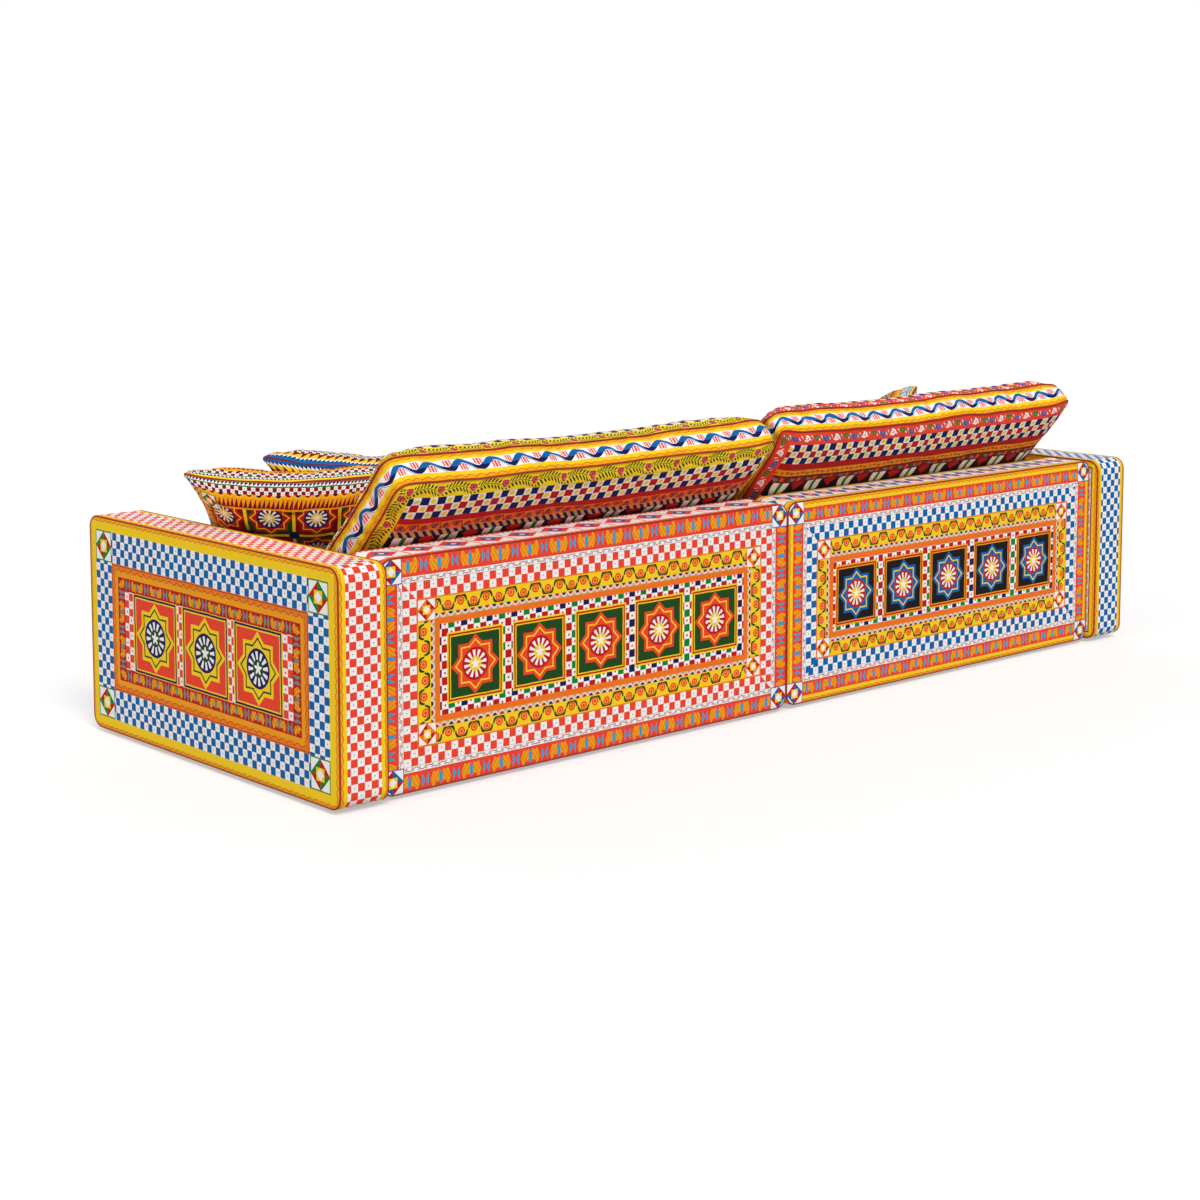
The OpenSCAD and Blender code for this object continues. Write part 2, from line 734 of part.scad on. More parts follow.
// A point of a leaning cushion after its lean, with the lower seam of the cushion at the origin
function leant(p, lean) = [p[0], p[1] * sin(lean) - p[2] * cos(lean), p[1] * cos(lean) + p[2] * sin(lean)];
back_foot = [0, back_cushion_h / 2, 0];
back_cord_points = [for (i = [0 : len(back_line) - 1]) for (w = [0, 0.25, 0.5, 0.75]) for (t = [0, back_band])
    let (p = back_line[i] * (1 - w) + back_line[(i + 1) % len(back_line)] * w)
    if (p[1] < 0) [p[0], p[1] - cord_room + cushion_piping_d / 2, t] + back_foot];
back_form_points = [
    for (p = cushion_points(back_line, back_cushion_w / 2, back_cushion_h / 2, back_rings, 0, end_low_share))
        p + back_foot];
function back_low_points(lean) = concat(
    [for (p = back_cord_points) leant(p, lean) - [0, 0, cushion_piping_d / 2]],
    [for (p = back_form_points) leant(p, lean)]);
function back_y_at(z, lean) = (z * lean_out(lean)[1] - rest_line(lean)) / cos(lean);
function back_z_at(y, low_points) = lift_onto_seat([for (p = low_points) p + [back_cushion_x, y, 0]]);

// How a back cushion lies: its lean, and the place of its lower rear seam
function back_pose(lean) =
    let (low_points = back_low_points(lean))
    let (first_z = back_z_at(back_y_at(seat_top_z, lean), low_points))
    let (z = max(first_z, back_z_at(back_y_at(first_z, lean), low_points)))
    [lean, back_y_at(z, lean), z];
back_right_pose = back_pose(back_right_lean);
back_left_pose = back_pose(back_left_lean);

module at_back_cushion(pose) {
    translate([back_cushion_x, pose[1], pose[2]])
        rotate([90 - pose[0], 0, 0])
            translate([0, back_cushion_h / 2, 0])
                children();
}
module back_pad(gap) {
    side = back_draw_in + back_wadding + gap;
    rear = back_rear_crown / 2 - gap;
    front = back_crown / 4 - gap;
    translate([0, 0, -rear])
        linear_extrude(rear + back_band + front)
            translate([0, -back_cushion_h / 2 + side])
                rounded_outline(back_cushion_w - 2 * side, back_cushion_h - 2 * side, back_corner_r);
}
module back_fill(pose) {
    color("white") at_back_cushion(pose) back_pad(fit);
}
module back_cushion_cover(pose, shade) {
    color(shade)
        at_back_cushion(pose)
            difference() {
                cushion_form(back_line, back_cushion_w / 2, back_cushion_h / 2, back_rings, 0, end_low_share);
                back_pad(0);
            }
}
module back_cushion_piping(pose) {
    color("firebrick")
        at_back_cushion(pose)
            for (z = [0, back_band])
                cord_loop(back_line, cushion_piping_d, z);
}
module back_zip(pose) {
    color("gray")
        at_back_cushion(pose)
            translate([0, 0, back_band / 2])
                edge_zip(back_cushion_w / 2, back_cushion_h / 2, back_draw_in, back_corner_r, back_zip_l,
                         back_band * band_bulge_share);
}

// Throw pillows. Each stands on the seat, and its pose is the place of its middle, its turn
// about the upright and its lean.
pillow_half = pillow_size / 2;
pillow_shoulder = pillow_half * 3 / 4;
pillow_line = outline(pillow_half, pillow_half, pillow_draw_in, pillow_ear_r);
pillow_form_rings = pillow_rings(pillow_t / 2, pillow_shoulder);
pillow_form_points = cushion_points(pillow_line, pillow_half, pillow_half, pillow_form_rings, ear_thin_share);
corner_pose = [inner_x - corner_pillow_side_gap, back_right_pose[1] - corner_pillow_front_gap,
               corner_pillow_turn, right_pillow_lean];
front_pose = [inner_x - front_pillow_side_gap, back_right_pose[1] - front_pillow_front_gap,
              front_pillow_turn, right_pillow_lean];
left_pose = [left_pillow_side_gap - inner_x, back_left_pose[1] - left_pillow_front_gap,
             left_pillow_turn, left_pillow_lean];

// A pillow point after its turn, and the height at which a leaning pillow clears the seat
function turned(p, turn) = [p[0] * cos(turn) - p[1] * sin(turn), p[0] * sin(turn) + p[1] * cos(turn), p[2]];
function pillow_z(pose) = lift_onto_seat(
    [for (p = pillow_form_points) turned(leant(p, pose[3]), pose[2]) + [pose[0], pose[1], 0]]);
corner_z = pillow_z(corner_pose);
front_z = pillow_z(front_pose);
left_z = pillow_z(left_pose);

module at_pillow(pose, z) {
    translate([pose[0], pose[1], z])
        rotate([0, 0, pose[2]])
            rotate([90 - pose[3], 0, 0])
                children();
}
module pillow_pad(gap) {
    side = pillow_size - 2 * (pillow_wadding + gap);
    t = pillow_t * 3 / 5 - 2 * gap;
    translate([0, 0, -t / 2])
        linear_extrude(t)
            translate([0, -side / 2])
                rounded_outline(side, side, pillow_wadding / 2);
}
module pillow_fill(pose, z) {
    color("white") at_pillow(pose, z) pillow_pad(fit);
}
module pillow_cover(pose, z, shade) {
    color(shade)
        at_pillow(pose, z)
            difference() {
                cushion_form(pillow_line, pillow_half, pillow_half, pillow_form_rings, ear_thin_share);
                pillow_pad(0);
            }
}
module pillow_zip(pose, z) {
    color("gray")
        at_pillow(pose, z)
            edge_zip(pillow_half, pillow_half, pillow_draw_in, pillow_ear_r, pillow_zip_l, 0);
}

arm_frame();  // arm_right_frame
arm_padding();  // arm_right_padding
arm_cover("tomato");  // arm_right_cover
arm_piping();  // arm_right_piping
mirror([1, 0, 0]) arm_frame();  // arm_left_frame
mirror([1, 0, 0]) arm_padding();  // arm_left_padding
mirror([1, 0, 0]) arm_cover("steelblue");  // arm_left_cover
mirror([1, 0, 0]) arm_piping();  // arm_left_piping
back_frame();  // back_right_frame
back_padding();  // back_right_padding
back_cover("tomato");  // back_right_cover
back_piping();  // back_right_piping
mirror([1, 0, 0]) back_frame();  // back_left_frame
mirror([1, 0, 0]) back_padding();  // back_left_padding
mirror([1, 0, 0]) back_cover("steelblue");  // back_left_cover
mirror([1, 0, 0]) back_piping();  // back_left_piping
base_frame();  // base_right_frame
base_webbing();  // base_right_webbing
base_platform();  // base_right_platform
base_front();  // base_right_front
base_dust_cover();  // base_right_dust_cover
mirror([1, 0, 0]) base_frame();  // base_left_frame
mirror([1, 0, 0]) base_webbing();  // base_left_webbing
mirror([1, 0, 0]) base_platform();  // base_left_platform
mirror([1, 0, 0]) base_front();  // base_left_front
mirror([1, 0, 0]) base_dust_cover();  // base_left_dust_cover
glides();
glide_screws();
arm_bolts();
back_bolts();
link_bolts();
insert_nuts();
link_nuts();
seat_core();  // seat_cushion_right_core
seat_cover("orange");  // seat_cushion_right_cover
seat_piping();  // seat_cushion_right_piping
seat_zip();  // seat_cushion_right_zip
mirror([1, 0, 0]) seat_core();  // seat_cushion_left_core
mirror([1, 0, 0]) seat_cover("orange");  // seat_cushion_left_cover
mirror([1, 0, 0]) seat_piping();  // seat_cushion_left_piping
mirror([1, 0, 0]) seat_zip();  // seat_cushion_left_zip
back_fill(back_right_pose);  // back_cushion_right_fill
back_cushion_cover(back_right_pose, "gold");  // back_cushion_right_cover
back_cushion_piping(back_right_pose);  // back_cushion_right_piping
back_zip(back_right_pose);  // back_cushion_right_zip
mirror([1, 0, 0]) back_fill(back_left_pose);  // back_cushion_left_fill
mirror([1, 0, 0]) back_cushion_cover(back_left_pose, "orangered");  // back_cushion_left_cover
mirror([1, 0, 0]) back_cushion_piping(back_left_pose);  // back_cushion_left_piping
mirror([1, 0, 0]) back_zip(back_left_pose);  // back_cushion_left_zip
pillow_fill(corner_pose, corner_z);  // pillow_corner_fill
pillow_cover(corner_pose, corner_z, "maroon");  // pillow_corner_cover
pillow_zip(corner_pose, corner_z);  // pillow_corner_zip
pillow_fill(front_pose, front_z);  // pillow_front_fill
pillow_cover(front_pose, front_z, "royalblue");  // pillow_front_cover
pillow_zip(front_pose, front_z);  // pillow_front_zip
pillow_fill(left_pose, left_z);  // pillow_left_fill
pillow_cover(left_pose, left_z, "green");  // pillow_left_cover
pillow_zip(left_pose, left_z);  // pillow_left_zip
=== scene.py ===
"""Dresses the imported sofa: printed cotton covers, stuffed cushions, sewn cords and the finishes of its inner parts."""

import logging
import math
from collections.abc import Callable, Sequence
from dataclasses import dataclass, field
from enum import Enum

import bpy
import numpy as np
from mathutils import Matrix, Vector


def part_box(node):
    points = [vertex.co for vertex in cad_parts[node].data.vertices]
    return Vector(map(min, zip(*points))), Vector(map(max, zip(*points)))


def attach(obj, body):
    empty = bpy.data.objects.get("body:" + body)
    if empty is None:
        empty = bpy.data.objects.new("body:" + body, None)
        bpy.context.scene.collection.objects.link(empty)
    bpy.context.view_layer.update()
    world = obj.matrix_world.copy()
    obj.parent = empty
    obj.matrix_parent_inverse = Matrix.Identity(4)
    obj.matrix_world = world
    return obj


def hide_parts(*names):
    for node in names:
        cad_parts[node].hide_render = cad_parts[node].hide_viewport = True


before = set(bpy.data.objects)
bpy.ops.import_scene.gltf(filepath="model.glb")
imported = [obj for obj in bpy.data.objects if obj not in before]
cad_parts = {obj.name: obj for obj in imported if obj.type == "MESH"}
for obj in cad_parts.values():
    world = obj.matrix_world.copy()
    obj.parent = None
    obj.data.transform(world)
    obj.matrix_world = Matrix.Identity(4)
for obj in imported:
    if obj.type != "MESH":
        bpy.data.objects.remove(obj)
log = logging.getLogger("sofa")
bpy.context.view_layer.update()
CLOTH = "Cloth"
TAU = 2 * math.pi
PURE_WHITE = (1.0, 1.0, 1.0, 1.0)


class Dye(Enum):
    """The dyes of the printed cloth and the colours of the fittings, as sRGB bytes."""

    RED = (240, 70, 46)
    DEEP_RED = (190, 22, 16)
    MAROON = (132, 14, 20)
    BROWN = (122, 28, 10)
    RUST = (206, 62, 16)
    ORANGE = (244, 116, 32)
    GOLD = (246, 163, 24)
    YELLOW = (252, 211, 32)
    TAN = (206, 160, 96)
    GREEN = (8, 128, 44)
    LEAF = (28, 70, 24)
    TEAL = (96, 150, 150)
    BLUE = (0, 100, 170)
    SKY = (52, 160, 212)
    NAVY = (18, 22, 84)
    PINK = (224, 88, 104)
    WHITE = (250, 247, 244)
    INK = (16, 12, 18)

    @property
    def linear(self) -> tuple[float, float, float, float]:
        """The dye as linear colour with full alpha."""
        return (*(linear_share(byte) for byte in self.value), 1.0)


def linear_share(byte: float) -> float:
    """An sRGB byte as linear light, 0 to 1."""
    share = byte / 255
    return share / 12.92 if share <= 0.04045 else ((share + 0.055) / 1.055) ** 2.4


class Draft:
    """A node tree in the making, with short calls for the nodes that cloth patterns need."""

    def __init__(self, tree: bpy.types.NodeTree) -> None:
        """Keeps the tree that gets the nodes."""
        self.tree = tree

    def node(self, kind: str, inputs: dict | None = None, **settings: object) -> bpy.types.Node:
        """Adds one shader node.

        Args:
            kind: the node's type without its ShaderNode prefix.
            inputs: values or wires by socket name or index.
            settings: the node's own properties.

        Returns:
            The new node.
        """
        made = self.tree.nodes.new("ShaderNode" + kind)
        for key, value in settings.items():
            setattr(made, key, value)
        for key, value in (inputs or {}).items():
            self.feed(made.inputs[key], value)
        return made

    def feed(self, socket: bpy.types.NodeSocket, value: object) -> None:
        """Sets or links a socket.

        Args:
            socket: the input socket.
            value: a wire, a dye, or a plain value.
        """
        if isinstance(value, Wire):
            self.tree.links.new(value.socket, socket)
        elif isinstance(value, Dye):
            socket.default_value = value.linear
        else:
            socket.default_value = value

    def math(self, operation: str, *terms: object) -> "Wire":
        """Adds a Math node over the terms and returns its result."""
        made = self.node("Math", operation=operation)
        for socket, term in zip(made.inputs, terms):
            self.feed(socket, term)
        return self.wire(made)

    def mix(self, share: object, low: object, high: object) -> "Wire":
        """Adds a colour Mix node, from low at share 0 to high at share 1, and returns its colour."""
        made = self.node("Mix", {0: share, 6: low, 7: high}, data_type="RGBA")
        return self.wire(made, 2)

    def wire(self, node: bpy.types.Node, output: int | str = 0) -> "Wire":
        """A node's output as a wire."""
        return Wire(self, node.outputs[output])

    def finish(self, shader: bpy.types.Node, output: str = "OutputMaterial") -> None:
        """Links a shader to the tree's output."""
        self.node(output, {0: self.wire(shader)})

    def seen(self) -> "Wire":
        """1 for rays that show the surround itself: from the camera, off a gloss or through glass."""
        rays = self.node("LightPath")
        camera, glossy, passed = (self.wire(rays, f"Is {kind} Ray") for kind in ("Camera", "Glossy", "Transmission"))
        return camera.most(glossy).most(passed)

    def length(self, x: object, y: object) -> "Wire":
        """The length of a flat vector."""
        return (x * x + y * y).root()

    def both(self, *masks: object) -> "Wire":
        """A mask that is 1 where all masks are."""
        whole = masks[0]
        for mask in masks[1:]:
            whole = whole * mask
        return whole

    def place(self, tree: bpy.types.NodeTree, *values: object) -> list["Wire"]:
        """Places a node group.

        Args:
            tree: the group's tree.
            values: its inputs in order.

        Returns:
            Its outputs in order.
        """
        made = self.node("Group", node_tree=tree)
        for socket, value in zip(made.inputs, values):
            self.feed(socket, value)
        return [Wire(self, socket) for socket in made.outputs]


@dataclass(frozen=True)
class Wire:
    """One output socket, with arithmetic that adds Math nodes."""

    draft: Draft
    socket: bpy.types.NodeSocket

    def __add__(self, other: object) -> "Wire":
        """The sum."""
        return self.draft.math("ADD", self, other)

    def __sub__(self, other: object) -> "Wire":
        """The difference."""
        return self.draft.math("SUBTRACT", self, other)

    def __rsub__(self, other: object) -> "Wire":
        """The other value less this one."""
        return self.draft.math("SUBTRACT", other, self)

    def __mul__(self, other: object) -> "Wire":
        """The product."""
        return self.draft.math("MULTIPLY", self, other)

    def __truediv__(self, other: object) -> "Wire":
        """The quotient."""
        return self.draft.math("DIVIDE", self, other)

    def __mod__(self, other: object) -> "Wire":
        """The remainder, never below 0."""
        return self.draft.math("FLOORED_MODULO", self, other)

    def __abs__(self) -> "Wire":
        """The size without its sign."""
        return self.draft.math("ABSOLUTE", self)

    def __lt__(self, other: object) -> "Wire":
        """1 where this is smaller."""
        return self.draft.math("LESS_THAN", self, other)

    def __gt__(self, other: object) -> "Wire":
        """1 where this is larger."""
        return self.draft.math("GREATER_THAN", self, other)

    __radd__ = __add__
    __rmul__ = __mul__

    def floor(self) -> "Wire":
        """The whole number below."""
        return self.draft.math("FLOOR", self)

    def root(self) -> "Wire":
        """The square root."""
        return self.draft.math("SQRT", self)

    def sine(self) -> "Wire":
        """The sine of an angle in radians."""
        return self.draft.math("SINE", self)

    def least(self, other: object) -> "Wire":
        """The smaller of two values."""
        return self.draft.math("MINIMUM", self, other)

    def most(self, other: object) -> "Wire":
        """The larger of two values."""
        return self.draft.math("MAXIMUM", self, other)


def new_group(title: str, *sockets: tuple[str, str, Sequence[str]]) -> tuple[Draft, list[Wire], bpy.types.Node]:
    """Starts a shader node group.

    Args:
        title: the group's name.
        sockets: rows of a way, a kind and the names of the sockets of that kind.

    Returns:
        Its draft, its inputs as wires and its output node.
    """
    tree = bpy.data.node_groups.new(title, "ShaderNodeTree")
    for way, kind, names in sockets:
        for name in names:
            tree.interface.new_socket(name=name, in_out=way, socket_type=f"NodeSocket{kind}")
    draft = Draft(tree)
    entry = tree.nodes.new("NodeGroupInput")
    wires = [Wire(draft, socket) for socket in entry.outputs if socket.type != "CUSTOM"]
    return draft, wires, tree.nodes.new("NodeGroupOutput")


def new_draft(tree: bpy.types.NodeTree) -> Draft:
    """A draft on a material's or world's own tree, emptied first."""
    tree.nodes.clear()
    return Draft(tree)


def new_material(name: str) -> tuple[bpy.types.Material, Draft]:
    """A new material and the draft of its empty tree."""
    made = bpy.data.materials.new(name)
    made.use_nodes = True
    return made, new_draft(made.node_tree)


@dataclass(frozen=True)
class Ornament:
    """A printed ornament, kept as a shader node group that is built on first use.

    Its paint function gets the draft, metres along (a) and across (c) the strip, the strip's width (w) and then
    the ornament's own numbers and dyes.
    """

    title: str
    numbers: tuple[str, ...]
    dyes: tuple[str, ...]
    paint: Callable[..., Wire]

    def tree(self) -> bpy.types.NodeTree:
        """The node group, with Along, Across and Width before its own sockets."""
        known = bpy.data.node_groups.get(self.title)
        if known:
            return known
        draft, wires, leave = new_group(
            self.title,
            ("INPUT", "Float", ("Along", "Across", "Width", *self.numbers)),
            ("INPUT", "Color", self.dyes),
            ("OUTPUT", "Color", ("Colour",)),
        )
        draft.feed(leave.inputs[0], self.paint(draft, *wires))
        return draft.tree


def paint_checks(d: Draft, a: Wire, c: Wire, w: Wire, *own: Wire) -> Wire:
    """Checks whose light squares carry a small spot."""
    cell, dot, dark, light, spot = own
    x, y = a / cell, c / cell
    i, j = x.floor(), y.floor()
    odd = (i + j) % 2.0
    inside = d.length(x - i - 0.5, y - j - 0.5) < dot
    return d.mix(inside * odd, d.mix(odd, dark, light), spot)


def paint_motley(d: Draft, a: Wire, c: Wire, w: Wire, *own: Wire) -> Wire:
    """Spotted checks: every other row has one dark dye, and the rows between take two in turn."""
    cell, dark, second, third, light = own
    x, y = a / cell, c / cell
    i, j = x.floor(), y.floor()
    between = (i * 0.5).floor() % 2.0
    squares = d.mix(j % 2.0, dark, d.mix(between, second, third))
    odd = (i + j) % 2.0
    inside = d.length(x - i - 0.5, y - j - 0.5) < 0.15
    return d.mix(inside * odd, d.mix(odd, squares, light), dark)


def paint_rows(d: Draft, a: Wire, c: Wire, w: Wire, *own: Wire) -> Wire:
    """Three rows of checks, the middle one in the second dye, whose light squares carry a broad spot."""
    cell, dark, second, light, spot = own
    x, y = a / cell, c / w * 3.0
    i, j = x.floor(), y.floor()
    odd = (i + j) % 2.0
    squares = d.mix(abs(j - 1.0) < 0.5, dark, second)
    inside = d.length(x - i - 0.5, y - j - 0.5) < 0.32
    return d.mix(inside * odd, d.mix(odd, squares, light), spot)


def paint_plain(d: Draft, a: Wire, c: Wire, w: Wire, dye: Wire) -> Wire:
    """One even dye."""
    return d.mix(0.0, dye, dye)


def paint_arcs(d: Draft, a: Wire, c: Wire, w: Wire, *own: Wire) -> Wire:
    """A chain of shallow arcs on a ground that is shaded beside its outer edge."""
    period, foot, height, ground, shade, line = own
    bow = abs((a * math.pi / period).sine()) * height + foot
    arc = abs(c - bow) < 0.0009
    seam = abs(c - foot * 0.42) < 0.0010
    fade = 1.0 - (c - foot) / (height * 1.6)
    base = d.mix(fade.most(0.0).least(0.85), ground, shade)
    return d.mix(arc.most(seam), base, line)


def paint_zigzag(d: Draft, a: Wire, c: Wire, w: Wire, *own: Wire) -> Wire:
    """A zigzag between two thin rims, with a small leaf in each of its corners."""
    period, ground, line, rim, fill = own
    wave = abs((a / period) % 1.0 - 0.5) * 2.0
    share = c / w
    line_at = wave * 0.56 + 0.22
    zig = abs(line_at - share) < 0.07
    x = ((a / period * 2.0) % 1.0 - 0.5) * period * 0.5
    leaf = d.both(d.length(x, (share - 0.5) * w * 0.8) < w * 0.27, abs(line_at - share) > 0.17)
    sides = abs(share - 0.5) > 0.455
    return d.mix(sides, d.mix(zig, d.mix(leaf, ground, fill), line), rim)


def paint_waves(d: Draft, a: Wire, c: Wire, w: Wire, *own: Wire) -> Wire:
    """A ribbon that runs in waves, thick where it falls, with three strokes in each bend."""
    period, ground, dark, light, stroke = own
    turn = a * TAU / period
    s, slope = turn.sine(), (turn + math.pi / 2).sine()
    y = (c / w - 0.5) * 2.0
    ribbon = abs(y - s * 0.64) < slope.most(0.0) * 0.3 + 0.3
    echo = abs(y - s * 0.64 + 0.48) < 0.05
    half = period * 0.5
    x = (a % half) - half * 0.5
    deep = y * d.math("SIGN", s)
    bars = ((abs(x) + half * 0.03) % (half * 0.16)) < half * 0.095
    strokes = d.both(bars, abs(x) < half * 0.3, deep < 0.24 - abs(x) / half, deep > -0.86)
    base = d.mix(strokes, d.mix(echo, ground, light), stroke)
    return d.mix(ribbon, base, d.mix((y + 0.2 > 0.0), dark, light))


def paint_vine(d: Draft, a: Wire, c: Wire, w: Wire, *own: Wire) -> Wire:
    """A winding stem with slanted leaves and a round flower in each turn."""
    period, ground, stem, bloom, heart = own
    y = (c / w - 0.5) * 2.0
    gap = y - (a * TAU / period).sine() * 0.22
    line = abs(gap) < 0.05
    step = period / 9.0
    x = ((a + abs(gap) * w * 0.34) % step) / step - 0.5
    q = (abs(gap) - 0.4) / 0.3
    leaf = (x * x * 12.0 + q * q) < 1.0
    fx = ((a + period * 0.25) % period) - period * 0.5
    r = d.length(fx / w * 2.0, y)
    angle = d.math("ARCTAN2", y, fx / w)
    petals = r < ((angle * 5.0).sine() * 0.05 + 0.5)
    base = d.mix(line.most(leaf), ground, stem)
    base = d.mix(r < 0.66, base, ground)
    base = d.mix(petals, base, heart)
    base = d.mix(r < 0.44, base, bloom)
    base = d.mix(d.both(r < 0.36, r > 0.27, (angle * 2.5).sine() > -0.6), base, heart)
    return d.mix(r < 0.13, base, heart)


def paint_sprigs(d: Draft, a: Wire, c: Wire, w: Wire, *own: Wire) -> Wire:
    """Small sprigs in three dyes, one after another, each a curl round a berry."""
    period, ground, first, second, third = own
    third_step = period / 3.0
    i = (a / third_step).floor()
    x = a - (i + 0.5) * third_step
    y = c - w * 0.5
    kind = i % 3.0
    dye = d.mix(kind > 1.5, d.mix(kind > 0.5, first, second), third)
    r = d.length(x, y)
    angle = d.math("ARCTAN2", y, x)
    curl = abs(r - w * 0.22 - w * 0.05 * (angle * 2.0 + kind).sine()) < w * 0.075
    open_side = d.both(curl, (angle + kind * 1.3).sine() > -0.55)
    berry = r < w * 0.1
    tail = d.both(abs(y + (x * TAU / third_step * 1.5).sine() * w * 0.16) < w * 0.05, r > w * 0.3, abs(y) < w * 0.4)
    base = d.mix(tail, ground, second)
    return d.mix(open_side.most(berry), base, dye)


def paint_plumes(d: Draft, a: Wire, c: Wire, w: Wire, *own: Wire) -> Wire:
    """Pairs of lobed plumes round a bud, with a small tip where two pairs meet."""
    period, ground, plume, bud, vein = own
    x = (a % period) - period * 0.5
    y = c - w * 0.5
    side = abs(x)
    wave = (side * 330.0).sine() * w * 0.09
    reach = side / (period * 0.36)
    bell = 1.0 - (reach - 0.46) * (reach - 0.46) * 3.2
    body = abs(y - (side * 150.0).sine() * w * 0.07) < bell * w * 0.34 + wave
    body = d.both(body, side > period * 0.06, side < period * 0.37)
    veins = d.both(abs((side * 240.0 + y * 170.0).sine()) < 0.2, body, abs(y) < w * 0.27)
    middle = d.both(side < period * 0.055, abs(y) < w * 0.36 - side * 2.0)
    tip = d.both(side > period * 0.39, abs(y) < (period * 0.5 - side) * 1.6, side < period * 0.475)
    base = d.mix(body, ground, plume)
    base = d.mix(veins, base, vein)
    return d.mix(middle.most(tip), base, bud)


def paint_shells(d: Draft, a: Wire, c: Wire, w: Wire, *own: Wire) -> Wire:
    """A row of half rings, each round a half disc, whose discs take two dyes in turn."""
    period, ground, ring, first, second = own
    i = (a / period).floor()
    x = a - (i + 0.5) * period
    r = d.length(x, c) / period
    base = d.mix(d.both(r > 0.34, r < 0.40), ground, ring)
    base = d.mix(d.both(r > 0.45, r < 0.50), base, ring)
    return d.mix(r < 0.27, base, d.mix(i % 2.0, first, second))


def paint_scroll(d: Draft, a: Wire, c: Wire, w: Wire, *own: Wire) -> Wire:
    """Half rings that turn up and down in one running line, with a bud in each."""
    period, ground, line, curl, rim = own
    steps = a / period
    i = steps.floor()
    x = (steps - i - 0.5) * period
    y = c - w * 0.5
    up = (i % 2.0) * 2.0 - 1.0
    r = d.length(x, y)
    thick = w * 0.05 + abs(y) * 0.14
    arc = d.both(abs(r - period * 0.44) < thick, y * up > 0.0, abs(y) < w * 0.42)
    inner = abs(d.length(x, y - up * w * 0.06) - period * 0.22) < w * 0.06
    bud = d.length(x, y - up * w * 0.06) < period * 0.12
    base = d.mix(arc, ground, line)
    base = d.mix(inner.most(bud), base, curl)
    return d.mix(abs(c / w - 0.5) > 0.475, base, rim)


def paint_rope(d: Draft, a: Wire, c: Wire, w: Wire, *own: Wire) -> Wire:
    """Slanted stripes, as on a laid rope."""
    pitch, dark, light = own
    share = ((a + c * 0.9) / pitch) % 1.0
    return d.mix(share < 0.5, light, dark)


def paint_teeth(d: Draft, a: Wire, c: Wire, w: Wire, *own: Wire) -> Wire:
    """A row of slanted teeth."""
    period, ground, tooth = own
    return d.mix((c / w) < ((a / period) % 1.0), ground, tooth)


def paint_lozenges(d: Draft, a: Wire, c: Wire, w: Wire, *own: Wire) -> Wire:
    """Lozenges in a row, each with a smaller one inside and a line between."""
    period, ground, outer, inner, divider = own
    x = abs((a % period) - period * 0.5) / (period * 0.5)
    y = abs(c / w - 0.5) * 2.0
    size = x + y
    base = d.mix(size < 0.9, ground, outer)
    base = d.mix(size < 0.5, base, inner)
    base = d.mix(size < 0.18, base, ground)
    return d.mix(x > 0.94, base, divider)


def paint_petals(d: Draft, a: Wire, c: Wire, w: Wire, *own: Wire) -> Wire:
    """A lattice of four-petalled flowers."""
    cell, ground, petal, rib, heart = own
    x = ((a / cell) % 1.0 - 0.5) * 2.0
    y = ((c / cell) % 1.0 - 0.5) * 2.0
    near_x, near_y = 1.0 - abs(x), 1.0 - abs(y)
    upright = near_x / (1.02 - y * y)
    level = near_y / (1.02 - x * x)
    blade = upright.least(level)
    base = d.mix(blade < 0.42, ground, petal)
    base = d.mix(blade < 0.1, base, rib)
    base = d.mix((abs(x) + abs(y)) < 0.36, base, heart)
    return d.mix((near_x + near_y) < 0.3, base, heart)


def star_layers(d: Draft, x: Wire, y: Wire, base: Wire, *dyes: Wire) -> Wire:
    """Paints an eight-pointed star with a rosette in it over a base, where x and y run from -1 to 1."""
    point, ring, core, ray = dyes
    ax, ay = abs(x), abs(y)
    star = ax.most(ay).least((ax + ay) * 0.7071)
    r = d.length(x, y)
    angle = d.math("ARCTAN2", y, x)
    fan = (angle * 12.0).sine() > 0.0
    base = d.mix(star < 0.7, base, point)
    base = d.mix(star < 0.6, base, ring)
    base = d.mix(star < 0.55, base, d.mix(r > 0.54, core, point))
    base = d.mix(r < 0.5, base, core)
    base = d.mix(d.both(r < 0.46, r > 0.24, fan), base, ray)
    base = d.mix(r < 0.24, base, ring)
    return d.mix(r < 0.13 + 0.05 * (angle * 5.0).sine(), base, ray)


def paint_star_row(d: Draft, a: Wire, c: Wire, w: Wire, *own: Wire) -> Wire:
    """Motley checks with a row of framed star tiles."""
    cell, pitch, tile, reach, dark, second, third, light, tile_ground, rim, point, ring, core, ray = own
    ground = paint_motley(d, a, c, w, cell, dark, second, third, light)
    x = ((a + pitch * 0.5) % pitch) - pitch * 0.5
    size = abs(x).most(abs(c))
    shown = d.both(size < tile * 1.16, abs(a) < reach)
    face = star_layers(d, x / tile, c / tile, tile_ground, point, ring, core, ray)
    face = d.mix(size > tile, face, rim)
    face = d.mix(d.both(size > tile * 1.04, size < tile * 1.1), face, core)
    return d.mix(shown, ground, face)


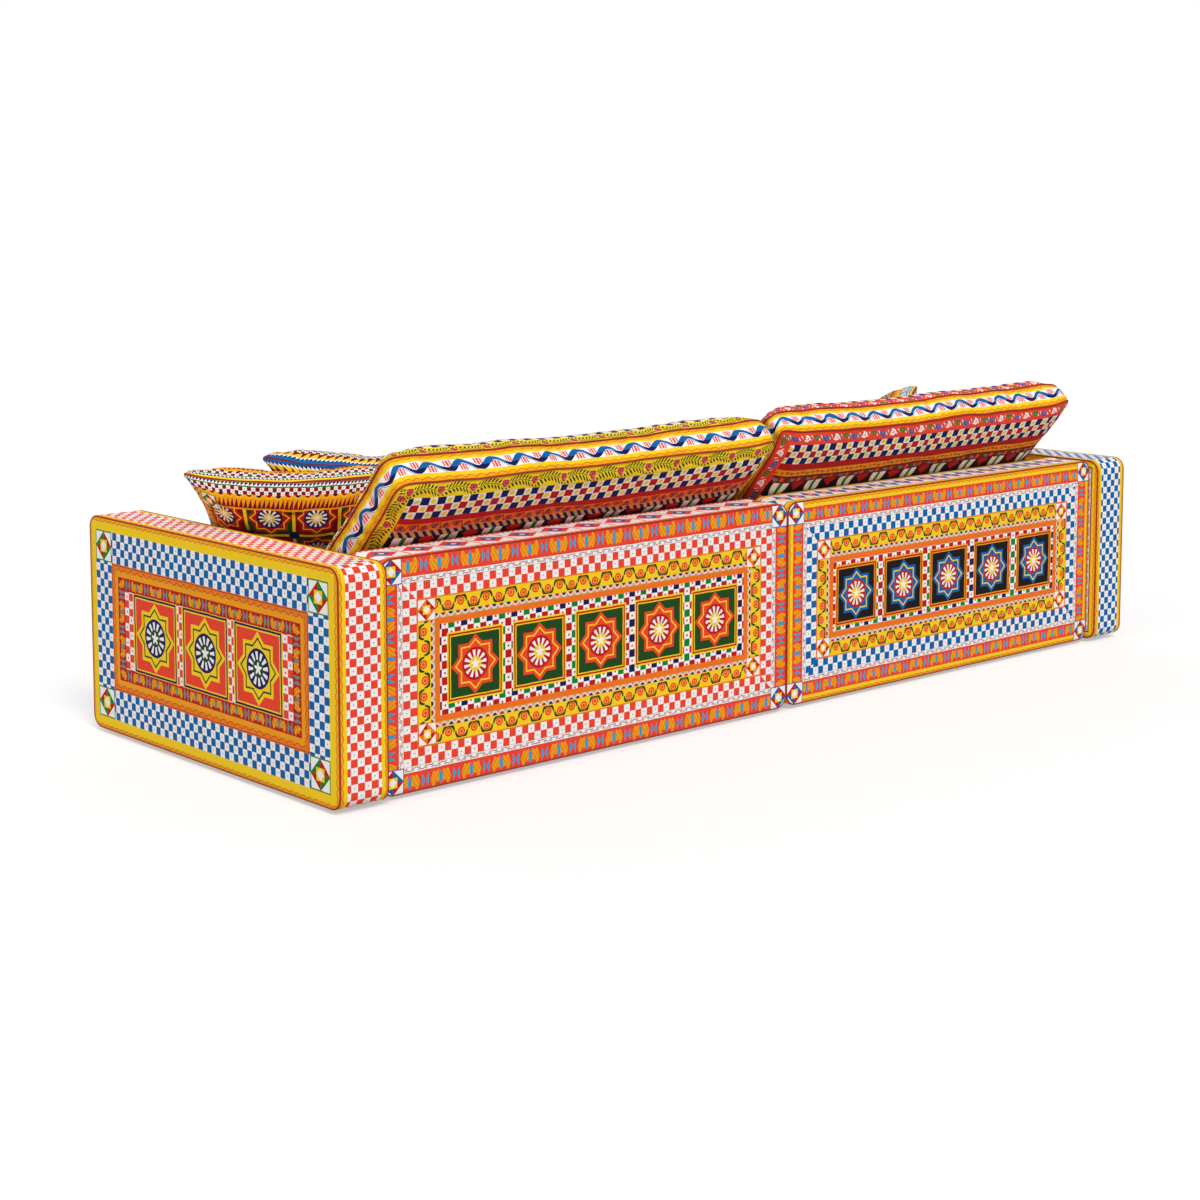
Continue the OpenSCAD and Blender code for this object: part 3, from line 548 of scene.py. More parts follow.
def paint_star_field(d: Draft, a: Wire, c: Wire, w: Wire, *own: Wire) -> Wire:
    """A field of star tiles whose grounds take two dyes in turn."""
    tile, ground, other, rim, point, ring, core, ray = own
    full = tile * 2.0
    i, j = (a / full).floor(), (c / full).floor()
    x = (a / full - i - 0.5) * 2.0
    y = (c / full - j - 0.5) * 2.0
    odd = (i + j) % 2.0
    face = star_layers(d, x, y, d.mix(odd, ground, other), point, ring, core, ray)
    edge = abs(x).most(abs(y))
    knot = d.length(1.0 - abs(x), 1.0 - abs(y)) < 0.24
    face = d.mix(edge > 0.93, face, rim)
    return d.mix(knot, face, core)


def paint_nested(d: Draft, a: Wire, c: Wire, w: Wire, *own: Wire) -> Wire:
    """Squares in squares, from the outside in, with a star of four points; along and across run from 0 to width."""
    first, second, third, fourth = own
    x = (a / w - 0.5) * 2.0
    y = (c / w - 0.5) * 2.0
    size = abs(x).most(abs(y))
    turned = abs(x) + abs(y)
    base = d.mix(size < 0.92, first, second)
    base = d.mix(turned < 0.98, base, third)
    base = d.mix(d.both(turned < 0.98, x * y > 0.0), base, first)
    base = d.mix(size < 0.4, base, fourth)
    return d.mix(turned < 0.36, base, second)


def paint_centred_lozenges(d: Draft, a: Wire, c: Wire, w: Wire, *own: Wire) -> Wire:
    """Lozenges whose across runs from the middle of the strip."""
    return paint_lozenges(d, a, c + w * 0.5, w, *own)


def paint_centred_waves(d: Draft, a: Wire, c: Wire, w: Wire, *own: Wire) -> Wire:
    """Waves whose across runs from the middle of the strip."""
    return paint_waves(d, a, c + w * 0.5, w, *own)


CHECKS = Ornament("Checks", ("Cell", "Dot share"), ("Dark", "Light", "Dot"), paint_checks)
MOTLEY = Ornament("Motley checks", ("Cell",), ("First", "Second", "Third", "Light"), paint_motley)
PLAIN = Ornament("Plain dye", (), ("Dye",), paint_plain)
ROWS = Ornament("Rows of checks", ("Cell",), ("Dark", "Second", "Light", "Dot"), paint_rows)
ARCS = Ornament("Arcs", ("Period", "Foot", "Height"), ("Ground", "Shade", "Line"), paint_arcs)
ZIGZAG = Ornament("Zigzag", ("Period",), ("Ground", "Line", "Rim", "Fill"), paint_zigzag)
SPRIGS = Ornament("Sprigs", ("Period",), ("Ground", "First", "Second", "Third"), paint_sprigs)
PLUMES = Ornament("Plumes", ("Period",), ("Ground", "Plume", "Bud", "Vein"), paint_plumes)
SHELLS = Ornament("Shells", ("Period",), ("Ground", "Ring", "First", "Second"), paint_shells)
WAVES = Ornament("Waves", ("Period",), ("Ground", "Dark", "Light", "Stroke"), paint_waves)
VINE = Ornament("Vine", ("Period",), ("Ground", "Stem", "Bloom", "Heart"), paint_vine)
SCROLL = Ornament("Scroll", ("Period",), ("Ground", "Line", "Curl", "Rim"), paint_scroll)
ROPE = Ornament("Rope", ("Pitch",), ("Dark", "Light"), paint_rope)
TEETH = Ornament("Teeth", ("Period",), ("Ground", "Tooth"), paint_teeth)
LOZENGES = Ornament("Lozenges", ("Period",), ("Ground", "Outer", "Inner", "Divider"), paint_lozenges)
PETALS = Ornament("Petals", ("Cell",), ("Ground", "Petal", "Rib", "Heart"), paint_petals)
STAR_DYES = ("Rim", "Point", "Ring", "Core", "Ray")
STAR_ROW = Ornament(
    "Star row",
    ("Cell", "Pitch", "Tile", "Reach"),
    ("First", "Second", "Third", "Light", "Tile ground", *STAR_DYES),
    paint_star_row,
)
STAR_FIELD = Ornament("Star field", ("Tile",), ("Ground", "Other ground", *STAR_DYES), paint_star_field)
CENTRED_LOZENGES = Ornament("Centred lozenges", LOZENGES.numbers, LOZENGES.dyes, paint_centred_lozenges)
CENTRED_WAVES = Ornament("Centred waves", WAVES.numbers, WAVES.dyes, paint_centred_waves)
NESTED = Ornament("Nested squares", (), ("First", "Second", "Third", "Fourth"), paint_nested)


@dataclass(frozen=True)
class Strip:
    """One strip of a printed border, or the field inside it."""

    ornament: Ornament
    width: float
    numbers: tuple[float, ...]
    dyes: tuple[Dye, ...]

    def colour(self, d: Draft, along: Wire, across: Wire) -> Wire:
        """The strip's colour at metres along it and across from its outer edge."""
        return d.place(self.ornament.tree(), along, across, self.width, *self.numbers, *self.dyes)[0]


def weave_group() -> bpy.types.NodeTree:
    """The plain weave of the cloth: a height and a tone from metres along and across the cloth."""
    known = bpy.data.node_groups.get("Weave")
    if known:
        return known
    d, (along, across, pitch), leave = new_group(
        "Weave", ("INPUT", "Float", ("Along", "Across", "Pitch")), ("OUTPUT", "Float", ("Height", "Tone"))
    )
    warp = (along * math.pi / pitch).sine()
    weft = (across * math.pi / pitch).sine()
    d.feed(leave.inputs[0], warp * weft * 0.5 + 0.5)
    where = d.node("CombineXYZ", {0: along, 1: across})
    slub = d.node("TexNoise", {"Vector": d.wire(where), "Scale": 160.0, "Detail": 2.0})
    cloud = d.node("TexNoise", {"Vector": d.wire(where), "Scale": 5.0, "Detail": 2.0})
    tone = d.wire(slub) * 0.10 + d.wire(cloud) * 0.10 + warp * weft * 0.03
    d.feed(leave.inputs[1], tone + 0.88)
    return d.tree


@dataclass(frozen=True)
class PrintedCotton:
    """A printed cotton: strips round a field, in metres on the piece's own cloth coordinates.

    A half length of None stands for an endless strip, as on a boxing. The strips after the framed ones run
    only above and below the field, and a framed of None means all of them.
    """

    name: str
    half_length: float | None
    half_height: float
    strips: tuple[Strip, ...]
    middle: Strip
    corner: Strip | None = None
    inner_corner: Strip | None = None
    inner_depth: float = 0.0
    framed: int | None = None
    wander: float = 0.0024
    wander_scale: float = 34.0
    thread: float = 0.0011
    relief: float = 0.0003
    roughness: float = 0.86
    specular: float = 0.12
    sheen: float = 0.03

    def material(self) -> bpy.types.Material:
        """The cloth as a material, built once."""
        known = bpy.data.materials.get(self.name)
        if known:
            return known
        made, d = new_material(self.name)
        uv = d.node("UVMap", uv_map=CLOTH)
        flat = d.node("SeparateXYZ", {0: d.wire(uv)})
        u0, v0 = d.wire(flat), d.wire(flat, 1)
        noise = d.node("TexNoise", {"Vector": d.wire(uv), "Scale": self.wander_scale, "Detail": 1.0})
        parts = d.node("SeparateXYZ", {0: d.wire(noise, "Color")})
        u = u0 + (d.wire(parts) - 0.5) * self.wander
        v = v0 + (d.wire(parts, 1) - 0.5) * self.wander
        colour = self.colour(d, u, v)
        height, tone = d.place(weave_group(), u0, v0, self.thread)
        worn = d.node("Mix", {0: 1.0, 6: colour, 7: tone}, data_type="RGBA", blend_type="MULTIPLY")
        bump = d.node("Bump", {"Strength": 0.22, "Distance": self.relief, "Height": height})
        shader = d.node(
            "BsdfPrincipled",
            {
                "Base Color": d.wire(worn, 2),
                "Normal": d.wire(bump),
                "Roughness": tone * self.roughness,
                "Specular IOR Level": self.specular,
                "Sheen Weight": self.sheen,
                "Sheen Roughness": 0.5,
            },
        )
        d.finish(shader)
        return made

    def colour(self, d: Draft, u: Wire, v: Wire) -> Wire:
        """The print's colour at metres right and up from the middle of the cloth.

        Args:
            d: the material's draft.
            u: metres to the right of the middle.
            v: metres above the middle.

        Returns:
            The colour wire.
        """
        from_top = self.half_height - abs(v)
        if self.half_length is None:
            inset, along = from_top, u
        else:
            from_end = self.half_length - abs(u)
            inset = from_end.least(from_top)
            at_end = from_end < from_top
            along = u + at_end * (v - u)
        framed = len(self.strips) if self.framed is None else self.framed
        frame_width = sum(strip.width for strip in self.strips[:framed])
        start, colour = 0.0, None
        for place, strip in enumerate((*self.strips, self.middle)):
            if place < framed or framed == len(self.strips):
                shown = inset > start
            else:
                shown = d.both(from_top > start, from_end > frame_width)
            if place == len(self.strips):
                here = (u, v)
            else:
                here = (along, inset - start) if place < framed else (u, from_top - start)
            inner = strip.colour(d, *here)
            colour = d.mix(shown, colour, inner) if colour else inner
            start += strip.width
        if self.half_length is not None:
            for block, depth in ((self.corner, 0.0), (self.inner_corner, self.inner_depth)):
                if block:
                    end, top = from_end - depth, from_top - depth
                    shown = d.both(end < block.width, top < block.width, end > 0.0, top > 0.0)
                    colour = d.mix(shown, colour, block.colour(d, end, top))
        return colour


def even(scale: float) -> tuple[float, float, float]:
    """One number three times: a grain that is as fine each way, or a grey."""
    return scale, scale, scale


@dataclass(frozen=True)
class Finish:
    """A plain material with grain: two tones, noise stretched along the grain, bump and roughness."""

    name: str
    dark: tuple[int, int, int]
    light: tuple[int, int, int]
    stretch: tuple[float, float, float]
    detail: float
    rough: tuple[float, float]
    bump: float
    metallic: float = 0.0
    weave: float = 0.0

    def material(self) -> bpy.types.Material:
        """The finish as a material, built once."""
        known = bpy.data.materials.get(self.name)
        if known:
            return known
        made, d = new_material(self.name)
        place = d.node("TexCoord")
        mapping = d.node("Mapping", {"Vector": d.wire(place, "Object"), "Scale": self.stretch})
        grain = d.node("TexNoise", {"Vector": d.wire(mapping), "Scale": 1.0, "Detail": self.detail})
        share = d.wire(grain)
        height = share
        if self.weave:
            flat = d.node("SeparateXYZ", {0: d.wire(place, "Object")})
            x, y, z = (d.wire(flat, i) for i in range(3))
            threads = ((x + z) * math.pi / self.weave).sine() * ((y + z) * math.pi / self.weave).sine()
            height = threads * 0.5 + share * 0.5
            share = share * 0.6 + threads * 0.15 + 0.15
        spread = d.node("MapRange", {"Value": share, "From Min": 0.32, "From Max": 0.68})
        ramp = d.wire(spread)
        tones = [(*(linear_share(b) for b in tone), 1.0) for tone in (self.dark, self.light)]
        colour = d.mix(ramp, *tones)
        bump = d.node("Bump", {"Strength": 0.4, "Distance": self.bump, "Height": height})
        roughness = ramp * (self.rough[1] - self.rough[0]) + self.rough[0]
        shader = d.node(
            "BsdfPrincipled",
            {"Base Color": colour, "Roughness": roughness, "Normal": d.wire(bump), "Metallic": self.metallic},
        )
        d.finish(shader)
        return made


def border(ornament: Ornament, width: float, numbers: Sequence[float], *dyes: Dye) -> Strip:
    """A strip from its ornament, width, numbers and dyes."""
    return Strip(ornament, width, tuple(numbers), dyes)


def check_field(dyes: Sequence[Dye], cell: float = 0.0215) -> Strip:
    """The field of spotted checks that most of the covers share."""
    return border(CHECKS, 1.0, [cell, 0.09], *dyes)


YELLOW_EDGE = border(ARCS, 0.0225, [0.027, 0.0062, 0.0052], Dye.YELLOW, Dye.GOLD, Dye.RUST)
CUSHION_EDGE = border(ARCS, 0.025, [0.034, 0.0075, 0.0062], Dye.YELLOW, Dye.GOLD, Dye.RUST)
RED_LINE = border(PLAIN, 0.0035, [], Dye.MAROON)
RED_CHECKS = (Dye.RED, Dye.WHITE, Dye.TEAL)
BLUE_CHECKS = (Dye.BLUE, Dye.WHITE, Dye.PINK)
FLOWER_VINE = border(VINE, 0.048, [0.105], Dye.YELLOW, Dye.LEAF, Dye.PINK, Dye.MAROON)
SPRIG_STRIP = border(SPRIGS, 0.046, [0.132], Dye.RED, Dye.BLUE, Dye.WHITE, Dye.GREEN)
BRAID = border(ZIGZAG, 0.0165, [0.042], Dye.WHITE, Dye.DEEP_RED, Dye.MAROON, Dye.TEAL)
PLAIN_FRAME = (YELLOW_EDGE, RED_LINE)
STAR_WARM = (Dye.YELLOW, Dye.DEEP_RED, Dye.YELLOW, Dye.NAVY, Dye.WHITE)
STAR_COOL = (Dye.GOLD, Dye.BLUE, Dye.WHITE, Dye.DEEP_RED, Dye.YELLOW)


class Side(Enum):
    """The two halves of the sofa, as someone who stands in front of it and faces it sees them."""

    RIGHT = 1
    LEFT = -1

    @property
    def word(self) -> str:
        """The side's word in node names."""
        return self.name.lower()

    @property
    def other(self) -> "Side":
        """The opposite side."""
        return Side(-self.value)

    @property
    def checks(self) -> tuple[Dye, Dye, Dye]:
        """The dyes of this side's checks."""
        return RED_CHECKS if self is Side.RIGHT else BLUE_CHECKS

    @property
    def stars(self) -> tuple[Dye, ...]:
        """The dyes of this side's fields of stars."""
        return (Dye.RED, Dye.BLUE, *STAR_WARM) if self is Side.RIGHT else (Dye.BLUE, Dye.ORANGE, *STAR_COOL)

    @property
    def runner(self) -> Strip:
        """The strip that runs round this side's cushions beside the seam."""
        return FLOWER_VINE if self is Side.RIGHT else SPRIG_STRIP


@dataclass(frozen=True)
class Place:
    """Where a flat piece of cloth lies: its middle, its directions to the right and up, and the way it faces."""

    middle: Vector
    right: Vector
    up: Vector

    @property
    def out(self) -> Vector:
        """The way that the piece faces."""
        return self.right.cross(self.up)

    def points(self, flat: np.ndarray) -> np.ndarray:
        """Turns rows of right, up and out into places in the row frame."""
        axes = np.array([self.right, self.up, self.out])
        return flat @ axes + np.array(self.middle)


def clear_selection() -> None:
    """Leaves edit mode and deselects everything."""
    if bpy.context.object and bpy.context.object.mode != "OBJECT":
        bpy.ops.object.mode_set(mode="OBJECT")
    bpy.ops.object.select_all(action="DESELECT")


def choose(piece: bpy.types.Object) -> None:
    """Makes a piece the only selected and active object."""
    clear_selection()
    piece.select_set(True)
    bpy.context.view_layer.objects.active = piece


def apply_modifier(piece: bpy.types.Object, kind: str, **settings: object) -> None:
    """Adds a modifier to a piece and applies it.

    Args:
        piece: the piece.
        kind: the modifier's type.
        settings: its properties.
    """
    choose(piece)
    made = piece.modifiers.new(kind.title(), kind)
    for key, value in settings.items():
        setattr(made, key, value)
    bpy.ops.object.modifier_apply(modifier=made.name)


def face_outwards(piece: bpy.types.Object, merge: float = 0.0) -> None:
    """Turns all faces of a piece outwards, after merging points nearer than a distance."""
    choose(piece)
    bpy.ops.object.mode_set(mode="EDIT")
    bpy.ops.mesh.select_all(action="SELECT")
    if merge:
        bpy.ops.mesh.remove_doubles(threshold=merge)
    bpy.ops.mesh.normals_make_consistent(inside=False)
    bpy.ops.object.mode_set(mode="OBJECT")


def shade(piece: bpy.types.Object, degrees: float) -> None:
    """Shades a piece smooth, apart from edges sharper than an angle."""
    choose(piece)
    bpy.ops.object.shade_smooth_by_angle(angle=math.radians(degrees))


def drop_maps(mesh: bpy.types.Mesh) -> None:
    """Removes the maps that a primitive comes with."""
    while mesh.uv_layers:
        mesh.uv_layers.remove(mesh.uv_layers[0])


def places_of(mesh: bpy.types.Mesh) -> np.ndarray:
    """The places of a mesh's points, one row each."""
    flat = np.empty(len(mesh.vertices) * 3, np.float32)
    mesh.vertices.foreach_get("co", flat)
    return flat.reshape(-1, 3).astype(float)


def set_places(mesh: bpy.types.Mesh, points: np.ndarray) -> None:
    """Moves a mesh's points."""
    mesh.vertices.foreach_set("co", points.astype(np.float32).ravel())
    mesh.update()


def cloth_grid(name: str, cells: tuple[int, int], rows: int = 0) -> bpy.types.Object:
    """A flat grid of cloth, or a closed box of cloth with a grid above and below.

    Args:
        name: the piece's name.
        cells: how many cells it has each way.
        rows: rows of the box's sides, or 0 for an open grid.

    Returns:
        The piece, from -0.5 to 0.5 each way, with its rows at whole heights.
    """
    clear_selection()
    bpy.ops.mesh.primitive_grid_add(x_subdivisions=cells[0], y_subdivisions=cells[1], size=1, location=(0, 0, 0))
    piece = bpy.context.object
    piece.name = piece.data.name = name
    if rows:
        bpy.ops.object.mode_set(mode="EDIT")
        bpy.ops.mesh.select_all(action="SELECT")
        for _ in range(rows):
            bpy.ops.mesh.extrude_region_move(TRANSFORM_OT_translate={"value": (0, 0, 1)})
        bpy.ops.object.mode_set(mode="OBJECT")
        face_outwards(piece)
    drop_maps(piece.data)
    return piece


def grid_steps(mesh: bpy.types.Mesh, cells: tuple[int, int]) -> np.ndarray:
    """Each point's column, row and level in its grid, as whole numbers."""
    points = places_of(mesh)
    return np.rint((points + [0.5, 0.5, 0]) * [cells[0], cells[1], 1]).astype(int)


def stations(half: float, step: float) -> np.ndarray:
    """Places along a side from -half to half, closer together at its ends.

    Args:
        half: half the side's length.
        step: the spacing in the middle.

    Returns:
        The places in order.
    """
    lead = np.array([0, 0.0022, 0.005, 0.009, 0.0145, 0.021])
    inner = half - lead[-1]
    count = max(2, round(2 * inner / step))
    middle = np.linspace(-inner, inner, count + 1)
    return np.concatenate([-half + lead[:-1], middle, (half - lead[:-1])[::-1]])


def round_corners(
    u: np.ndarray, v: np.ndarray, half: tuple[float, float], radius: float
) -> tuple[np.ndarray, np.ndarray]:
    """Bends the corners of a rectangle's grid into round ones.

    Args:
        u: places to the right.
        v: places up.
        half: half the rectangle's width and height.
        radius: the corner radius.

    Returns:
        The bent places to the right and up.
    """
    s = np.clip((np.abs(u) - (half[0] - radius)) / radius, 0, 1)
    t = np.clip((np.abs(v) - (half[1] - radius)) / radius, 0, 1)
    corner = (s > 0) & (t > 0)
    bent_u = np.sign(u) * (half[0] - radius + radius * s * np.sqrt(1 - t * t / 2))
    bent_v = np.sign(v) * (half[1] - radius + radius * t * np.sqrt(1 - s * s / 2))
    return np.where(corner, bent_u, u), np.where(corner, bent_v, v)


def edge_distance(u: np.ndarray, v: np.ndarray, half: tuple[float, float], radius: float) -> np.ndarray:
    """How far each place is from the outline of a rectangle with round corners."""
    du, dv = half[0] - np.abs(u), half[1] - np.abs(v)
    over_u, over_v = radius - du, radius - dv
    corner = radius - np.hypot(np.maximum(over_u, 0), np.maximum(over_v, 0))
    return np.where((over_u > 0) & (over_v > 0), corner, np.minimum(du, dv))


def ripple(along: np.ndarray, seed: float) -> np.ndarray:
    """An uneven ripple between about -1 and 1, as a seam's stitches pull the cloth.

    Args:
        along: metres along the seam.
        seed: shifts the ripple, so that no two seams are alike.

    Returns:
        The ripple at each place.
    """
    waves = [(0.047, 1.0), (0.031, 0.7), (0.083, 0.8), (0.021, 0.35)]
    total = sum(size * np.sin(TAU * along / length + seed * (3.1 + length * 90)) for length, size in waves)
    swell = 0.6 + 0.4 * np.sin(TAU * along / 0.41 + seed * 1.7)
    return total * swell / 2.2


def drift(u: np.ndarray, v: np.ndarray, seed: float) -> np.ndarray:
    """A slow wander between about -1 and 1 over a piece of cloth, as hand-cut and hand-stuffed cushions have.

    Args:
        u: places to the right.
        v: places up.
        seed: shifts the wander.

    Returns:
        The wander at each place.
    """
    total = np.zeros(len(u))
    for turn, (length, size) in enumerate([(0.74, 1.0), (0.43, 0.8), (0.27, 0.6), (0.168, 0.42), (0.109, 0.26)]):
        angle = seed * 1.9 + turn * 2.4
        across = u * math.cos(angle * 0.35) + v * math.sin(angle * 0.35)
        total += size * np.sin(TAU * across / length + angle * 3.7)
    return total / 2.1


@dataclass(frozen=True)
class Fold:
    """A soft crease in a panel: a valley with a ridge beside it.

    The middle is in metres from the middle of the cushion, and the way is its direction in degrees.
    """

    middle: tuple[float, float]
    way: float
    length: float
    width: float
    depth: float

    def lift(self, u: np.ndarray, v: np.ndarray) -> np.ndarray:
        """How far the crease lifts the cloth at each place."""
        turn = math.radians(self.way)
        du, dv = u - self.middle[0], v - self.middle[1]
        along = du * math.cos(turn) + dv * math.sin(turn)
        across = dv * math.cos(turn) - du * math.sin(turn) + 0.012 * np.sin(along * 14)
        valley = np.exp(-((across / self.width) ** 2))
        ridge = 0.55 * np.exp(-(((across - 1.9 * self.width) / (1.3 * self.width)) ** 2))
        return self.depth * (ridge - valley) * np.exp(-((along / self.length) ** 2))


def folds(*rows: tuple[float, float, float, float, float, float]) -> tuple[Fold, ...]:
    """Creases from rows of right, up, way, length, width and depth."""
    return tuple(Fold((right, up), *rest) for right, up, *rest in rows)


SEAT_FOLDS = folds((-0.2, -0.33, 80, 0.16, 0.02, 0.003), (0.31, -0.29, 102, 0.14, 0.022, 0.0035))
REAR_FOLDS = {
    Side.RIGHT: folds(
        (-0.03, 0.115, 14, 0.2, 0.018, 0.009), (-0.18, 0.06, 8, 0.17, 0.022, 0.010),
        (0.42, 0.08, -24, 0.12, 0.018, 0.008), (0.12, 0.17, -60, 0.07, 0.014, 0.005),
    ),
    Side.LEFT: folds(
        (0.05, 0.1, -10, 0.22, 0.018, 0.008), (0.36, 0.13, 20, 0.14, 0.018, 0.008),
        (-0.35, 0.07, 6, 0.16, 0.02, 0.009), (-0.1, 0.17, 66, 0.07, 0.014, 0.005),
    ),
}
FRONT_FOLDS = folds(
    (-0.4, 0.17, 30, 0.12, 0.02, 0.005), (0.38, 0.18, 148, 0.13, 0.022, 0.005), (0.02, -0.14, 4, 0.25, 0.022, 0.005),
)
PILLOW_FOLDS = (
    folds(
        (-0.13, 0.17, 128, 0.09, 0.014, 0.005), (0.15, 0.16, 55, 0.08, 0.014, 0.005), (0.0, 0.2, 92, 0.06, 0.02, 0.003),
    ),
    folds(
        (-0.15, 0.15, 135, 0.09, 0.014, 0.005), (0.14, 0.17, 50, 0.08, 0.014, 0.005),
        (0.13, -0.16, -48, 0.09, 0.014, 0.005),
    ),
)


def set_cloth_map(mesh: bpy.types.Mesh, corners: np.ndarray) -> None:
    """Writes the cloth coordinates, in metres, of every face corner."""
    layer = mesh.uv_layers.new(name=CLOTH)
    layer.data.foreach_set("uv", corners.astype(np.float32).ravel())


def corner_points(mesh: bpy.types.Mesh) -> np.ndarray:
    """The point of every face corner."""
    index = np.empty(len(mesh.loops), np.int32)
    mesh.loops.foreach_get("vertex_index", index)
    return index


@dataclass
class CordLoop:
    """A sewn cord that follows a closed path."""

    name: str
    diameter: float
    sides: int = 8

    def build(self, paths: Sequence[np.ndarray]) -> bpy.types.Object:
        """Makes one piece of a round cord along each closed path.

        Args:
            paths: rows of places, each path closed by its first place.

        Returns:
            The piece, with cloth coordinates along and round the cord.
        """
        points, faces, corners = [], [], []
        for path in paths:
            count = len(path)
            ahead, behind = np.roll(path, -1, 0), np.roll(path, 1, 0)
            way = ahead - behind
            way /= np.linalg.norm(way, axis=1)[:, None]
            centre = path.mean(0)
            normal = np.linalg.svd(path - centre)[2][2]
            side = np.cross(way, normal)
            side /= np.linalg.norm(side, axis=1)[:, None]
            lift = np.cross(side, way)
            length = np.concatenate([[0], np.cumsum(np.linalg.norm(ahead - path, axis=1))])
            base = len(points)
            for i in range(count):
                for k in range(self.sides):
                    angle = TAU * k / self.sides
                    points.append(path[i] + self.diameter / 2 * (math.cos(angle) * side[i] + math.sin(angle) * lift[i]))
            for i in range(count):
                j = (i + 1) % count
                here, there = base + i * self.sides, base + j * self.sides
                for k in range(self.sides):
                    m = (k + 1) % self.sides
                    faces.append([here + k, here + m, there + m, there + k])
                    low, high = (self.diameter * 3 * turn / self.sides for turn in (k, k + 1))
                    corners += [(length[i], low), (length[i], high), (length[i + 1], high), (length[i + 1], low)]
        mesh = bpy.data.meshes.new(self.name)
        mesh.from_pydata([tuple(p) for p in points], [], faces)
        set_cloth_map(mesh, np.array(corners))
        piece = bpy.data.objects.new(self.name, mesh)
        bpy.context.scene.collection.objects.link(piece)
        face_outwards(piece)
        bpy.ops.object.shade_smooth()
        return piece


